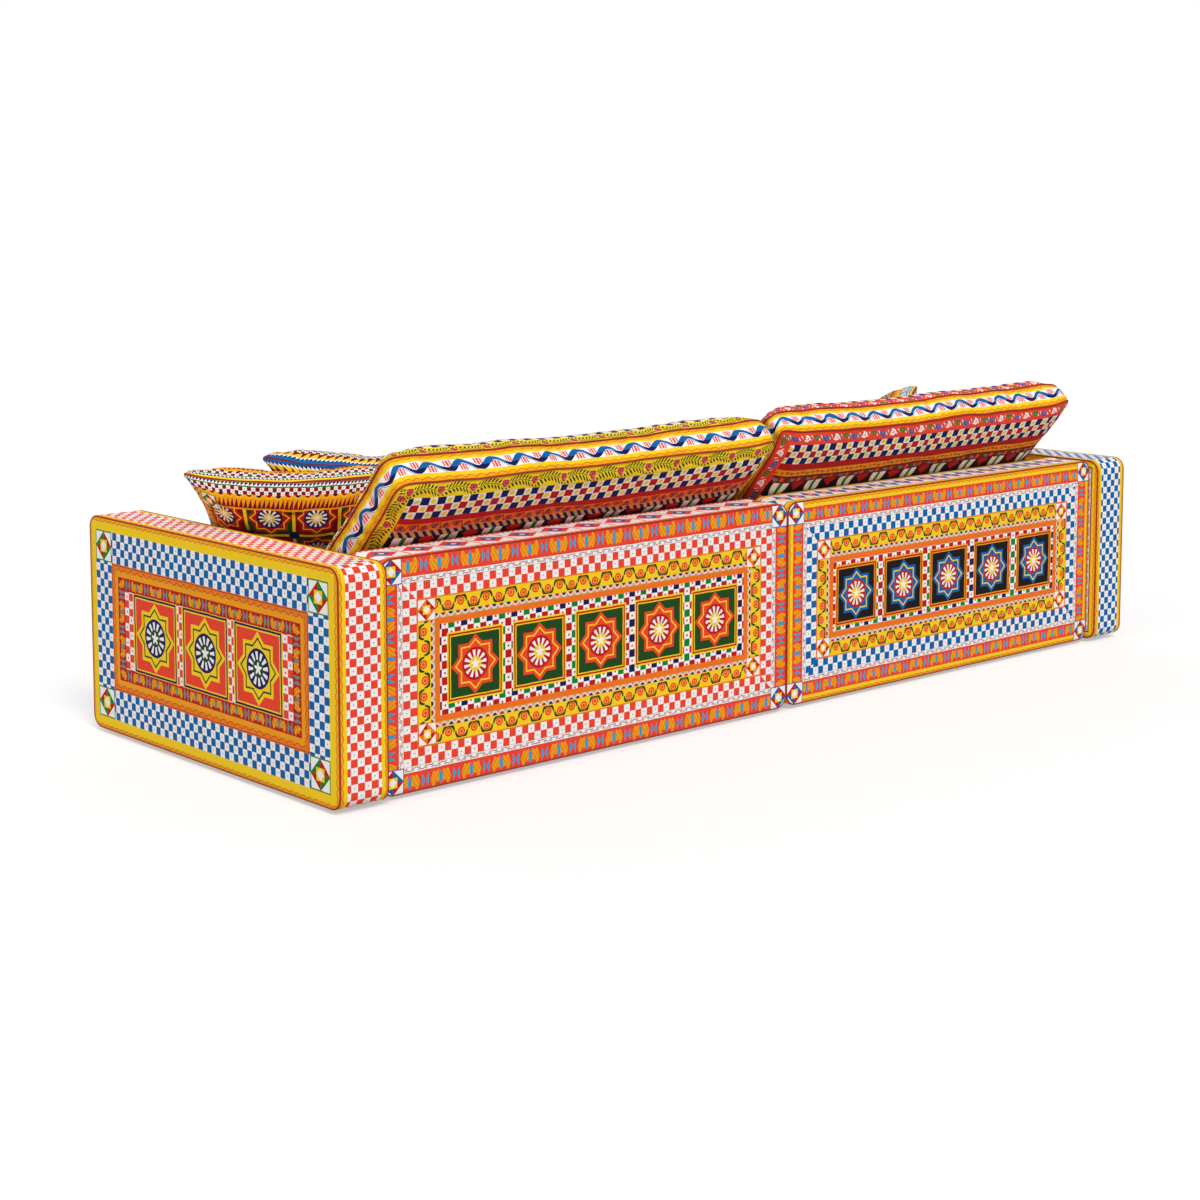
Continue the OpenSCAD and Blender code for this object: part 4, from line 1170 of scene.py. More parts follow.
@dataclass
class Panel:
    """An upholstered upright panel: two broad faces, a boxing between them and a cord round each face.

    The puckers beside the seams are for the faces and for the boxing.
    """

    width: float
    height: float
    depth: float
    radius: float
    place: Place
    cord: float = 0.005
    sink: float = 0.0018
    roll: float = 0.011
    crown: float = 0.0024
    crown_reach: float = 0.07
    puckers: tuple[float, float] = (0.00075, 0.0006)
    cloth: float = 0.0022
    step: float = 0.011

    def face(self, name: str, front: bool, seed: float) -> bpy.types.Object:
        """Makes one broad face.

        Args:
            name: the piece's name.
            front: True for the face that the place faces, whose middle the foam lifts, False for the one behind.
            seed: shifts the ripples along its seams.

        Returns:
            The face, a thin closed shell.
        """
        margin = self.cord * 0.55
        half = (self.width / 2 - margin, self.height / 2 - margin)
        radius = self.radius - margin
        across, up = stations(half[0], self.step), stations(half[1], self.step)
        cells = (len(across) - 1, len(up) - 1)
        piece = cloth_grid(name, cells)
        steps = grid_steps(piece.data, cells)
        u, v = round_corners(across[steps[:, 0]], up[steps[:, 1]], half, radius)
        inset = np.maximum(edge_distance(u, v, half, radius), 0)
        along = np.where(half[0] - np.abs(u) < half[1] - np.abs(v), v + 3 * np.sign(u), u + 7 * np.sign(v))
        out = self.sunk(inset)
        if front:
            out += self.crown * (1 - np.exp(-inset / self.crown_reach))
        out += self.puckers[0] * ripple(along, seed) * np.exp(-inset / 0.02) * np.clip(inset / 0.006, 0, 1)
        out += 0.0004 * np.sin(u * 9 + seed) * np.sin(v * 11 + seed * 2) * np.clip(inset / 0.08, 0, 1)
        turned = self.place if front else Place(self.place.middle, -self.place.right, self.place.up)
        points = turned.points(np.stack([u, v, out + self.depth / 2], 1))
        set_places(piece.data, points)
        loops = corner_points(piece.data)
        set_cloth_map(piece.data, np.stack([u, v], 1)[loops])
        return self.thicken(piece)

    def thicken(self, piece: bpy.types.Object) -> bpy.types.Object:
        """Gives a cloth its thickness and shades it, apart from its sharp rims."""
        apply_modifier(piece, "SOLIDIFY", thickness=self.cloth, offset=-1)
        shade(piece, 42)
        return piece

    def sunk(self, inset: np.ndarray) -> np.ndarray:
        """How far the cord's seam holds the cloth down at a distance from it."""
        return -self.sink * (1 - np.clip(inset / self.roll, 0, 1)) ** 2.2

    def outline(self, margin: float, step: float) -> np.ndarray:
        """Places along the panel's outline from the middle of its foot, anticlockwise.

        Args:
            margin: how far inside the outline the path runs.
            step: the spacing along the straight sides.

        Returns:
            Rows of right and up, closed by the first place.
        """
        a, b = self.width / 2 - margin, self.height / 2 - margin
        r = self.radius - margin
        path: list[tuple[float, float]] = []
        turns = [(a - r, r - b, -90), (a - r, b - r, 0), (r - a, b - r, 90), (r - a, r - b, 180)]
        here = np.array([0.0, -b])
        for x, y, start in turns:
            angles = [math.radians(start + t) for t in np.linspace(0, 90, 13)]
            arc = [(x + r * math.cos(angle), y + r * math.sin(angle)) for angle in angles]
            reach = np.linalg.norm(np.array(arc[0]) - here)
            count = max(1, round(reach / step))
            path += [tuple(here + (np.array(arc[0]) - here) * i / count) for i in range(count)]
            path += arc[:-1]
            here = np.array(arc[-1])
        count = max(1, round(abs(here[0]) / step))
        path += [tuple(here * [1 - i / count, 1]) for i in range(count)]
        return np.array(path)

    def boxing(self, name: str, seed: float) -> bpy.types.Object:
        """Makes the strip of cloth round the panel's edge.

        Args:
            name: the piece's name.
            seed: shifts the ripples along its seams.

        Returns:
            The boxing, a thin closed shell.
        """
        path = self.outline(0.0, self.step)
        half = self.depth / 2 - self.cord * 0.55
        over = stations(half, 0.009)
        cells = (len(path), len(over) - 1)
        piece = cloth_grid(name, cells)
        steps = grid_steps(piece.data, cells)
        closed = np.vstack([path, path[:1]])
        length = np.concatenate([[0], np.cumsum(np.linalg.norm(np.diff(closed, axis=0), axis=1))])
        way = np.roll(path, -1, 0) - np.roll(path, 1, 0)
        out = np.stack([way[:, 1], -way[:, 0]], 1)
        out /= np.linalg.norm(out, axis=1)[:, None]
        out = np.vstack([out, out[:1]])
        across = over[steps[:, 1]]
        inset = half - np.abs(across)
        along = length[steps[:, 0]]
        lift = self.sunk(inset)
        beside = np.exp(-inset / 0.018) * np.clip(inset / 0.006, 0, 1)
        lift += self.puckers[1] * ripple(along + 5 * np.sign(across), seed) * beside
        lift *= np.where(steps[:, 0] % cells[0] == 0, 0.0, 1.0) * 0.999 + 0.001
        flat = closed[steps[:, 0]] + out[steps[:, 0]] * lift[:, None]
        set_places(piece.data, self.place.points(np.column_stack([flat, across])))
        loops = corner_points(piece.data)
        set_cloth_map(piece.data, np.stack([along, across], 1)[loops])
        face_outwards(piece, 0.00005)
        return self.thicken(piece)

    def cords(self, name: str) -> bpy.types.Object:
        """Makes the two cords that lie in the corners between the faces and the boxing."""
        ring = self.outline(self.cord / 2, 0.02)
        offset = self.depth / 2 - self.cord / 2
        paths = [self.place.points(np.column_stack([ring, np.full(len(ring), side * offset)])) for side in (-1, 1)]
        return CordLoop(name, self.cord).build(paths)


@dataclass
class Stuffing:
    """How a cushion's cover swells in its cloth simulation, and how far it may move."""

    pressure: float
    slack: float
    cap: float
    bending: float = 0.6
    frames: int = 20
    quality: int = 5
    mass: float = 0.35
    stretching: float = 18
    shearing: float = 6
    damping: float = 2
    pinning: float = 6

    def swell(self, piece: bpy.types.Object, seam: np.ndarray) -> None:
        """Runs the cloth over a piece, with its seams held, and keeps the result.

        Args:
            piece: the closed cover.
            seam: True for each point that is held.
        """
        choose(piece)
        held = piece.vertex_groups.new(name="held")
        held.add([int(i) for i in np.flatnonzero(seam)], 1.0, "REPLACE")
        start = places_of(piece.data)
        cloth = piece.modifiers.new("Cloth", "CLOTH")
        rules = cloth.settings
        rules.quality = self.quality
        rules.mass = self.mass
        rules.tension_stiffness = rules.compression_stiffness = self.stretching
        rules.shear_stiffness = self.shearing
        rules.bending_stiffness = self.bending
        rules.air_damping = self.damping
        rules.vertex_group_mass = held.name
        rules.pin_stiffness = self.pinning
        rules.shrink_min = -self.slack
        rules.use_pressure = True
        rules.uniform_pressure_force = self.pressure
        rules.effector_weights.gravity = 0
        cloth.collision_settings.use_collision = False
        scene = bpy.context.scene
        cloth.point_cache.frame_start, cloth.point_cache.frame_end = 1, self.frames
        for frame_number in range(1, self.frames + 1):
            scene.frame_set(frame_number)
        swollen = places_of(piece.evaluated_get(bpy.context.evaluated_depsgraph_get()).data)
        piece.modifiers.remove(cloth)
        scene.frame_set(1)
        move = swollen - start
        far = np.linalg.norm(move, axis=1)
        log.info("%s: cloth moved %.1f mm at most, %.1f mm on average", piece.name, far.max() * 1000, far.mean() * 1000)
        move *= (self.cap / (self.cap + far))[:, None]
        set_places(piece.data, start + move)
        piece.vertex_groups.clear()


@dataclass
class Cushion:
    """A stuffed cushion in its own flat frame: right, up and out, with a lower panel, a band and an upper panel.

    Its pairs are for the lower and the upper panel, apart from half (right, up) and pinch (left end, right end).
    The core is the block inside: its margin from the seams and how far it reaches below and above the band.
    """

    name: str
    half: tuple[float, float]
    band: float
    rise: tuple[float, float]
    shoulder: tuple[float, float]
    draw_in: float
    radius: float
    step: float
    rows: int
    stuffing: Stuffing
    powers: tuple[float, float] = (0.5, 0.5)
    thin: float = 0.0
    end_low: float = 0.0
    pinch: tuple[float, float] = (0.0, 0.0)
    pinch_reach: float = 0.085
    seam_crease: float = 0.85
    band_bulge: float = 0.004
    waver: float = 0.003
    waver_reach: float = 0.075
    pucker: float = 0.0016
    pucker_reach: float = 0.034
    ear: float = 0.0
    seed: float = 1.0
    folds: tuple[tuple[Fold, ...], tuple[Fold, ...]] = ((), ())
    limit: tuple[float, float] = (1.0, 1.0)
    core: tuple[float, float, float] = (0.05, 0.0, 0.0)
    seams: list[np.ndarray] = field(default_factory=list)
    cloth_half: list[tuple[float, float]] = field(default_factory=list)

    def crown(self, inset: np.ndarray, upper: int) -> np.ndarray:
        """The rise of the lower or upper panel at a distance from its seam."""
        share = np.clip(inset / self.shoulder[upper], 0, 1)
        return self.rise[upper] * (1 - (1 - share) ** 2) ** self.powers[upper]

    def cloth_reach(self, upper: int) -> tuple[np.ndarray, np.ndarray]:
        """Distances from the seam, flat and along the crowned cloth, for one panel."""
        flat = np.linspace(0, max(self.half), 1200)
        lift = self.crown(flat, upper)
        return flat, np.concatenate([[0], np.cumsum(np.hypot(np.diff(flat), np.diff(lift)))])

    def build(self) -> bpy.types.Object:
        """Makes the cushion's cover as one closed piece, with cloth coordinates and three finishes' faces.

        Returns:
            The cover in its flat frame. Its faces take slot 0 below, 1 on the band and 2 above.
        """
        cells = tuple(max(6, round(2 * half / self.step)) for half in self.half)
        piece = cloth_grid(self.name, cells, self.rows)
        mesh = piece.data
        steps = grid_steps(mesh, cells)
        u, v = ((steps[:, k] / cells[k] * 2 - 1) * self.half[k] for k in (0, 1))
        level = steps[:, 2]
        points = self.shape(u, v, level)
        set_places(mesh, points)
        self.map_cloth(mesh, level, u, v)
        seam = (self.inset(u, v) < 1e-6) & ((level == 0) | (level == self.rows))
        self.crease(mesh, level, seam)
        self.seams = [self.loop(steps, cells, points, k) for k in (0, self.rows)]
        self.stuffing.swell(piece, seam)
        apply_modifier(piece, "SUBSURF", levels=1, render_levels=1)
        self.keep_low(mesh)
        shade(piece, 60)
        return piece

    def inset(self, u: np.ndarray, v: np.ndarray) -> np.ndarray:
        """How far flat places are from the seams."""
        return np.minimum(self.half[0] - np.abs(u), self.half[1] - np.abs(v))

    def shape(self, flat_u: np.ndarray, flat_v: np.ndarray, level: np.ndarray) -> np.ndarray:
        """The cover's form before it is stuffed.

        Args:
            flat_u: flat places to the right.
            flat_v: flat places up.
            level: the rows' numbers.

        Returns:
            Rows of right, up and out.
        """
        u, v = round_corners(flat_u, flat_v, self.half, self.radius)
        pulled_u = u * (1 - self.draw_in / self.half[0] * (1 - (v / self.half[1]) ** 2))
        pulled_v = v * (1 - self.draw_in / self.half[1] * (1 - (u / self.half[0]) ** 2))
        inset = self.inset(flat_u, flat_v)
        corner = (np.abs(flat_u * flat_v) / (self.half[0] * self.half[1])) ** 3
        end = np.clip(np.abs(flat_u) / np.maximum(self.half[0] - inset, 0.01), 0, 1) ** 6
        share = level / self.rows
        out = share * self.band
        for upper, where, sign in ((0, level == 0, -1), (1, level == self.rows, 1)):
            low = self.thin * corner + (self.end_low * end if upper else 0)
            lift = self.crown(inset, upper) * (1 - low * (1 - np.clip(inset / self.shoulder[upper], 0, 1)))
            out = np.where(where, (self.band if upper else 0) + sign * lift, out)
        from_corner = np.hypot(self.half[0] - np.abs(flat_u), self.half[1] - np.abs(flat_v))
        narrow = np.clip(1 - from_corner / self.pinch_reach, 0, 1) ** 1.3 * np.where(flat_u < 0, *self.pinch)
        out = self.band / 2 + (out - self.band / 2) * (1 - narrow)
        between = (level > 0) & (level < self.rows)
        swell = 1 + np.where(between, self.band_bulge * 4 * share * (1 - share), 0)[:, None] / np.array(self.half)
        points = np.column_stack([pulled_u, pulled_v, out])
        points[:, :2] *= swell * (1 + self.ear * corner**2)[:, None]
        return points + self.softness(flat_u, flat_v, inset, share, level)

    def cords(self, name: str, diameter: float, out: float) -> bpy.types.Object:
        """Makes the cords just outside the cushion's two seams."""
        paths = [cord_path(seam, out, level) for seam, level in zip(self.seams, (-1, 1))]
        return CordLoop(name, diameter).build(paths)

    def softness(
        self, u: np.ndarray, v: np.ndarray, inset: np.ndarray, share: np.ndarray, level: np.ndarray
    ) -> np.ndarray:
        """The small moves that make the cushion soft: wandering seams, puckers beside them and folds.

        Args:
            u: flat places to the right.
            v: flat places up.
            inset: distances from the seams.
            share: heights in the band, 0 to 1.
            level: the rows' numbers.

        Returns:
            A move to the right, up and out for each point.
        """
        fade = np.exp(-inset / self.waver_reach)
        seams = (1 - share) * drift(u, v, self.seed) + share * drift(u, v, self.seed + 5.3)
        moves = np.stack([drift(v, u, self.seed + 2.2), drift(u, v, self.seed + 3.1), seams], 1)
        moves *= (self.waver * fade)[:, None]
        from_end, from_top = self.half[0] - np.abs(u), self.half[1] - np.abs(v)
        along = np.where(from_end < from_top, v + 3 * np.sign(u), u + 7 * np.sign(v))
        clear = np.clip(np.abs(from_end - from_top) / 0.035, 0, 1)
        beside = np.exp(-inset / self.pucker_reach) * np.clip(inset / 0.012, 0, 1)
        for upper, where, sign in ((0, level == 0, -1), (1, level == self.rows, 1)):
            lift = self.pucker * ripple(along + 0.4 * upper, self.seed + upper) * beside * clear * 1.6
            lift += self.waver * 0.5 * drift(v * 1.3, u * 1.3, self.seed + 7 + upper) * np.clip(inset / 0.1, 0, 1)
            for fold in self.folds[upper]:
                lift += fold.lift(u, v) * np.clip(inset / 0.03, 0, 1)
            moves[:, 2] += np.where(where, sign * lift, 0)
        side = (level > 0) & (level < self.rows)
        bulge = np.where(side, self.pucker * 1.4 * ripple(along, self.seed + 9) * 4 * share * (1 - share), 0)
        at_end = from_end < from_top
        moves[:, 0] += np.where(at_end, np.sign(u), 0) * bulge
        moves[:, 1] += np.where(at_end, 0, np.sign(v)) * bulge
        return moves

    def keep_low(self, mesh: bpy.types.Mesh) -> None:
        """Scales each crown down to its limit, and keeps the cover off the core inside it."""
        points = places_of(mesh)
        beyond = np.maximum(*(np.abs(points[:, k]) - (self.half[k] - self.core[0]) for k in (0, 1)))
        for upper, base, sign in ((0, 0.0, -1), (1, self.band, 1)):
            rise = (points[:, 2] - base) * sign
            most = rise.max()
            if most > self.limit[upper]:
                rise = np.where(rise > 0, rise * self.limit[upper] / most, rise)
            needed = self.core[1 + upper] + 0.002 - np.maximum(beyond, 0) * 1.6
            kept = np.maximum(rise, np.where(beyond < 0.012, needed, 0))
            points[:, 2] = np.where(rise > 0.002, base + sign * kept, points[:, 2])
        set_places(mesh, points)

    def loop(self, steps: np.ndarray, cells: tuple[int, int], points: np.ndarray, level: int) -> np.ndarray:
        """The places of the seam at one level, in order round the cushion."""
        ring = [(i, 0) for i in range(cells[0])] + [(cells[0], j) for j in range(cells[1])]
        ring += [(i, cells[1]) for i in range(cells[0], 0, -1)] + [(0, j) for j in range(cells[1], 0, -1)]
        at = {(i, j): n for n, (i, j, k) in enumerate(steps) if k == level}
        return np.array([points[at[p]] for p in ring])

    def crease(self, mesh: bpy.types.Mesh, level: np.ndarray, seam: np.ndarray) -> None:
        """Keeps the seams crisp under subdivision."""
        ends = np.empty(len(mesh.edges) * 2, np.int32)
        mesh.edges.foreach_get("vertices", ends)
        a, b = ends.reshape(-1, 2).T
        crisp = seam[a] & seam[b] & (level[a] == level[b])
        layer = mesh.attributes.new("crease_edge", "FLOAT", "EDGE")
        layer.data.foreach_set("value", np.where(crisp, self.seam_crease, 0.0).astype(np.float32))

    def map_cloth(self, mesh: bpy.types.Mesh, level: np.ndarray, u: np.ndarray, v: np.ndarray) -> None:
        """Writes the cloth coordinates and the slot of every face.

        Args:
            mesh: the cushion's mesh.
            level: each point's row in the band.
            u: flat places to the right.
            v: flat places up.
        """
        loops = corner_points(mesh)
        level = level[loops].reshape(-1, 4)
        zone = np.where((level == 0).all(1), 0, np.where((level == self.rows).all(1), 2, 1))
        corners = np.zeros((len(loops), 2))
        each = np.repeat(zone, 4)
        self.cloth_half = []
        for upper in (0, 1):
            flat, reach = self.cloth_reach(upper)
            sizes = [float(np.interp(h, flat, reach)) for h in self.half]
            self.cloth_half.append((sizes[0], sizes[1]))
            chosen = each == 2 * upper
            for axis, (place, half) in enumerate(((u, self.half[0]), (v, self.half[1]))):
                p = place[loops[chosen]]
                corners[chosen, axis] = np.sign(p) * (sizes[axis] - np.interp(half - np.abs(p), flat, reach))
        a, b = self.half
        total = 4 * (a + b)
        around = np.select(
            [v <= -b + 1e-6, u >= a - 1e-6, v >= b - 1e-6],
            [a + u, 2 * a + b + v, 3 * a + 2 * b - u],
            4 * a + 3 * b - v,
        )
        side = around[loops].reshape(-1, 4)
        wraps = side.max(1) - side.min(1) > total / 2
        side = np.where(wraps[:, None] & (side < total / 2), side + total, side)
        height = (level / self.rows - 0.5) * self.band
        band = each == 1
        corners[band, 0] = side.ravel()[band]
        corners[band, 1] = height.ravel()[band]
        set_cloth_map(mesh, corners)
        mesh.polygons.foreach_set("material_index", zone.astype(np.int32))


def lay(piece: bpy.types.Object, place: Place) -> None:
    """Moves a flat piece's mesh to its place."""
    set_places(piece.data, place.points(places_of(piece.data)))


def mirror(piece: bpy.types.Object) -> None:
    """Mirrors a piece's mesh across the sofa's middle."""
    set_places(piece.data, places_of(piece.data) * [-1, 1, 1])
    piece.data.flip_normals()


def copied(piece: bpy.types.Object, name: str) -> bpy.types.Object:
    """A copy of a piece with its own mesh."""
    twin = piece.copy()
    twin.data = piece.data.copy()
    twin.name = twin.data.name = name
    bpy.context.scene.collection.objects.link(twin)
    return twin


def dress(piece: bpy.types.Object, *finishes: PrintedCotton | Finish) -> None:
    """Gives a piece its materials in order."""
    for finish in finishes:
        piece.data.materials.append(finish.material())


def settle(piece: bpy.types.Object, body: str, nodes: Sequence[str] = ()) -> None:
    """Parents a piece to its body, hides the CAD nodes that it stands for, and reports it.

    Args:
        piece: the finished piece.
        body: the body that it rides on.
        nodes: the CAD nodes that it stands for.
    """
    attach(piece, body)
    if nodes:
        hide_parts(*nodes)
    log.info("made %s on %s with %d faces", piece.name, body, len(piece.data.polygons))


@dataclass
class Upright:
    """Upright panels of one kind, one on each side. Each kind gives the panel and its three prints."""

    edge: Finish
    kind: str = ""
    faces: tuple[str, str] = ("", "")
    seed: float = 0.0
    radius: float = 0.038

    def build(self) -> None:
        """Makes both panels' faces, boxings and cords."""
        for side in Side:
            name = f"{self.kind}_{side.word}"
            low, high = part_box(f"{name}_cover")
            panel = self.panel(side, (low + high) / 2, high - low)
            half = (panel.width / 2, panel.height / 2)
            seed = self.seed + side.value
            outer = panel.face(f"{name}_{self.faces[0]}_face", True, seed)
            dress(outer, self.outer_print(side, half))
            inner = panel.face(f"{name}_{self.faces[1]}_face", False, seed + 1)
            dress(inner, self.inner_print(half))
            boxing = panel.boxing(f"{name}_boxing", seed + 2)
            dress(boxing, self.boxing_print(side, panel.depth / 2))
            for piece in (outer, inner, boxing):
                settle(piece, "sofa", [f"{name}_cover"])
            cord = panel.cords(f"{name}_cord")
            dress(cord, self.edge)
            settle(cord, "sofa", [f"{name}_piping"])


@dataclass
class Arms(Upright):
    """The two arms: tall padded panels whose broad faces look sideways."""

    kind: str = "arm"
    faces: tuple[str, str] = ("outer", "inner")
    seed: float = 1.0

    def panel(self, side: Side, middle: Vector, size: Vector) -> Panel:
        """The panel in its place, with its crowned face outwards."""
        place = Place(middle, Vector((0, side.value, 0)), Vector((0, 0, 1)))
        return Panel(size.y, size.z, size.x, self.radius, place)

    def outer_print(self, side: Side, half: tuple[float, float]) -> PrintedCotton:
        """The print of an arm's outer face: blue and red checks round a row of stars."""
        strips = (
            border(ARCS, 0.038, [0.027, 0.0075, 0.0062], Dye.YELLOW, Dye.GOLD, Dye.RUST),
            border(CHECKS, 0.086, [0.0215, 0.09], *BLUE_CHECKS),
            border(ARCS, 0.034, [0.034, 0.009, 0.009], Dye.GOLD, Dye.ORANGE, Dye.MAROON),
            border(PLUMES, 0.036, [0.098], Dye.DEEP_RED, Dye.GOLD, Dye.TEAL, Dye.BROWN),
        )
        checks = (Dye.RED, Dye.RED, Dye.RED, Dye.WHITE)
        star = (Dye.RED, Dye.YELLOW, Dye.YELLOW, Dye.LEAF, Dye.NAVY, Dye.WHITE)
        middle = border(STAR_ROW, 1.0, [0.0215, 0.252, 0.098, 0.38], *checks, *star)
        corner = border(NESTED, 0.086, [], Dye.GREEN, Dye.WHITE, Dye.DEEP_RED, Dye.YELLOW)
        return PrintedCotton("Arm outer print", *half, strips, middle, None, corner, 0.038)

    def inner_print(self, half: tuple[float, float]) -> PrintedCotton:
        """The print of an arm's inner face: a yellow border round red checks."""
        return PrintedCotton("Arm inner print", *half, (*PLAIN_FRAME, BRAID), check_field(RED_CHECKS))

    def boxing_print(self, side: Side, half: float) -> PrintedCotton:
        """The print of an arm's boxing: checks between yellow borders."""
        name = f"Arm {side.word} boxing print"
        return PrintedCotton(name, None, half, (YELLOW_EDGE,), check_field(side.checks, 0.021))


@dataclass
class Backs(Upright):
    """The two back panels, which look forwards and to the rear."""

    kind: str = "back"
    faces: tuple[str, str] = ("rear", "front")
    seed: float = 5.0

    def panel(self, side: Side, middle: Vector, size: Vector) -> Panel:
        """The panel in its place, with its crowned face to the rear."""
        place = Place(middle, Vector((-1, 0, 0)), Vector((0, 0, 1)))
        return Panel(size.x, size.z, size.y, self.radius, place)

    def outer_print(self, side: Side, half: tuple[float, float]) -> PrintedCotton:
        """The print of a back panel's rear face: borders round a row of stars on motley checks."""
        right = side is Side.RIGHT
        strips = (
            *(() if right else (YELLOW_EDGE,)),
            border(PLUMES, 0.052 if right else 0.042, [0.1], Dye.RED, Dye.GOLD, Dye.SKY, Dye.RUST),
            BRAID,
            border(CHECKS, 0.043, [0.0215, 0.09], *side.checks),
            border(PLAIN, 0.003, [], Dye.ORANGE),
            border(SCROLL, 0.042, [0.042], Dye.YELLOW, Dye.LEAF, Dye.RED, Dye.GOLD),
            border(SHELLS, 0.013, [0.024], Dye.TAN, Dye.WHITE, Dye.NAVY, Dye.DEEP_RED),
            border(PLAIN, 0.016, [], Dye.ORANGE),
        )
        tile = (Dye.LEAF, Dye.YELLOW, Dye.RED) if right else (Dye.INK, Dye.GOLD, Dye.BLUE)
        checks = (Dye.DEEP_RED, Dye.NAVY, Dye.GREEN, Dye.WHITE)
        rosette = (Dye.YELLOW, Dye.DEEP_RED, Dye.WHITE)
        middle = border(STAR_ROW, 1.0, [0.021, 0.218, 0.080, 0.54], *checks, *tile, *rosette)
        corner = border(NESTED, 0.0685, [], Dye.BLUE, Dye.WHITE, Dye.DEEP_RED, Dye.YELLOW)
        inner = border(NESTED, 0.058, [], Dye.ORANGE, Dye.WHITE, Dye.DEEP_RED, Dye.YELLOW)
        depth = 0.1145 if right else 0.127
        return PrintedCotton(f"Back {side.word} rear print", *half, strips, middle, corner, inner, depth)

    def inner_print(self, half: tuple[float, float]) -> PrintedCotton:
        """The print of a back panel's front face: a yellow border round red checks."""
        return PrintedCotton("Back front print", *half, PLAIN_FRAME, check_field(RED_CHECKS))

    def boxing_print(self, side: Side, half: float) -> PrintedCotton:
        """The print of a back panel's boxing: lozenges between borders."""
        if side is Side.RIGHT:
            strips = (
                border(PLAIN, 0.008, [], Dye.RED),
                border(PLAIN, 0.004, [], Dye.ORANGE),
                border(TEETH, 0.014, [0.018], Dye.WHITE, Dye.RED),
            )
            middle = border(CENTRED_LOZENGES, 0.098, [0.116], Dye.WHITE, Dye.RED, Dye.BLUE, Dye.ORANGE)
        else:
            strips = PLAIN_FRAME
            middle = border(CENTRED_LOZENGES, 0.098, [0.06], Dye.WHITE, Dye.BLUE, Dye.RED, Dye.YELLOW)
        return PrintedCotton(f"Back {side.word} boxing print", None, half, strips, middle)


@dataclass
class Fronts:
    """The padded borders under the seat cushions, at the front of the base."""

    round: float = 0.009

    def build(self) -> None:
        """Makes both borders."""
        for side in Side:
            node = f"base_{side.word}_front"
            low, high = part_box(node)
            size, middle = high - low, (low + high) / 2
            clear_selection()
            bpy.ops.mesh.primitive_cube_add(size=1, location=middle, scale=size)
            piece = bpy.context.object
            piece.name = piece.data.name = f"base_{side.word}_border"
            bpy.ops.object.transform_apply(location=True, rotation=True, scale=True)
            bpy.ops.object.mode_set(mode="EDIT")
            bpy.ops.mesh.select_all(action="SELECT")
            bpy.ops.mesh.bisect(plane_co=middle, plane_no=(0, 0, 1))
            bpy.ops.mesh.select_all(action="SELECT")
            bpy.ops.mesh.bevel(offset=self.round, segments=4, affect="EDGES")
            bpy.ops.object.mode_set(mode="OBJECT")
            face_outwards(piece)
            drop_maps(piece.data)
            points = places_of(piece.data)[corner_points(piece.data)]
            up = points[:, 2] - middle.z + (points[:, 1] - low.y) * 0.9
            set_cloth_map(piece.data, np.stack([points[:, 0] - middle.x, up], 1))
            shade(piece, 40)
            dress(piece, self.print(side, size.z / 2))
            settle(piece, "sofa", [node])

    def print(self, side: Side, half: float) -> PrintedCotton:
        """The border's print: checks between yellow edges."""
        return PrintedCotton(f"Front {side.word} print", None, half, PLAIN_FRAME, check_field(side.checks))


def band_print(name: str, cushion: Cushion, period: float) -> PrintedCotton:
    """The print of a cushion's band: waves of one period between yellow borders."""
    width = cushion.band - 2 * CUSHION_EDGE.width
    waves = border(CENTRED_WAVES, width, [period], Dye.WHITE, Dye.NAVY, Dye.BLUE, Dye.RED)
    return PrintedCotton(name, None, cushion.band / 2, (CUSHION_EDGE,), waves)


def finish_cushion(
    node: str, body: str, cover: bpy.types.Object, prints: Sequence[PrintedCotton], cord: bpy.types.Object, edge: Finish
) -> None:
    """Dresses a cushion's cover and cords, sets them on their body and hides the CAD nodes that they stand for.

    Args:
        node: the cushion's word in node names.
        body: the body that it rides on.
        cover: its padded cover.
        prints: the cover's prints in order.
        cord: its cords.
        edge: the cords' finish.
    """
    dress(cover, *prints)
    settle(cover, body, [f"{node}_cover"])
    dress(cord, edge)
    settle(cord, body, [f"{node}_piping"])


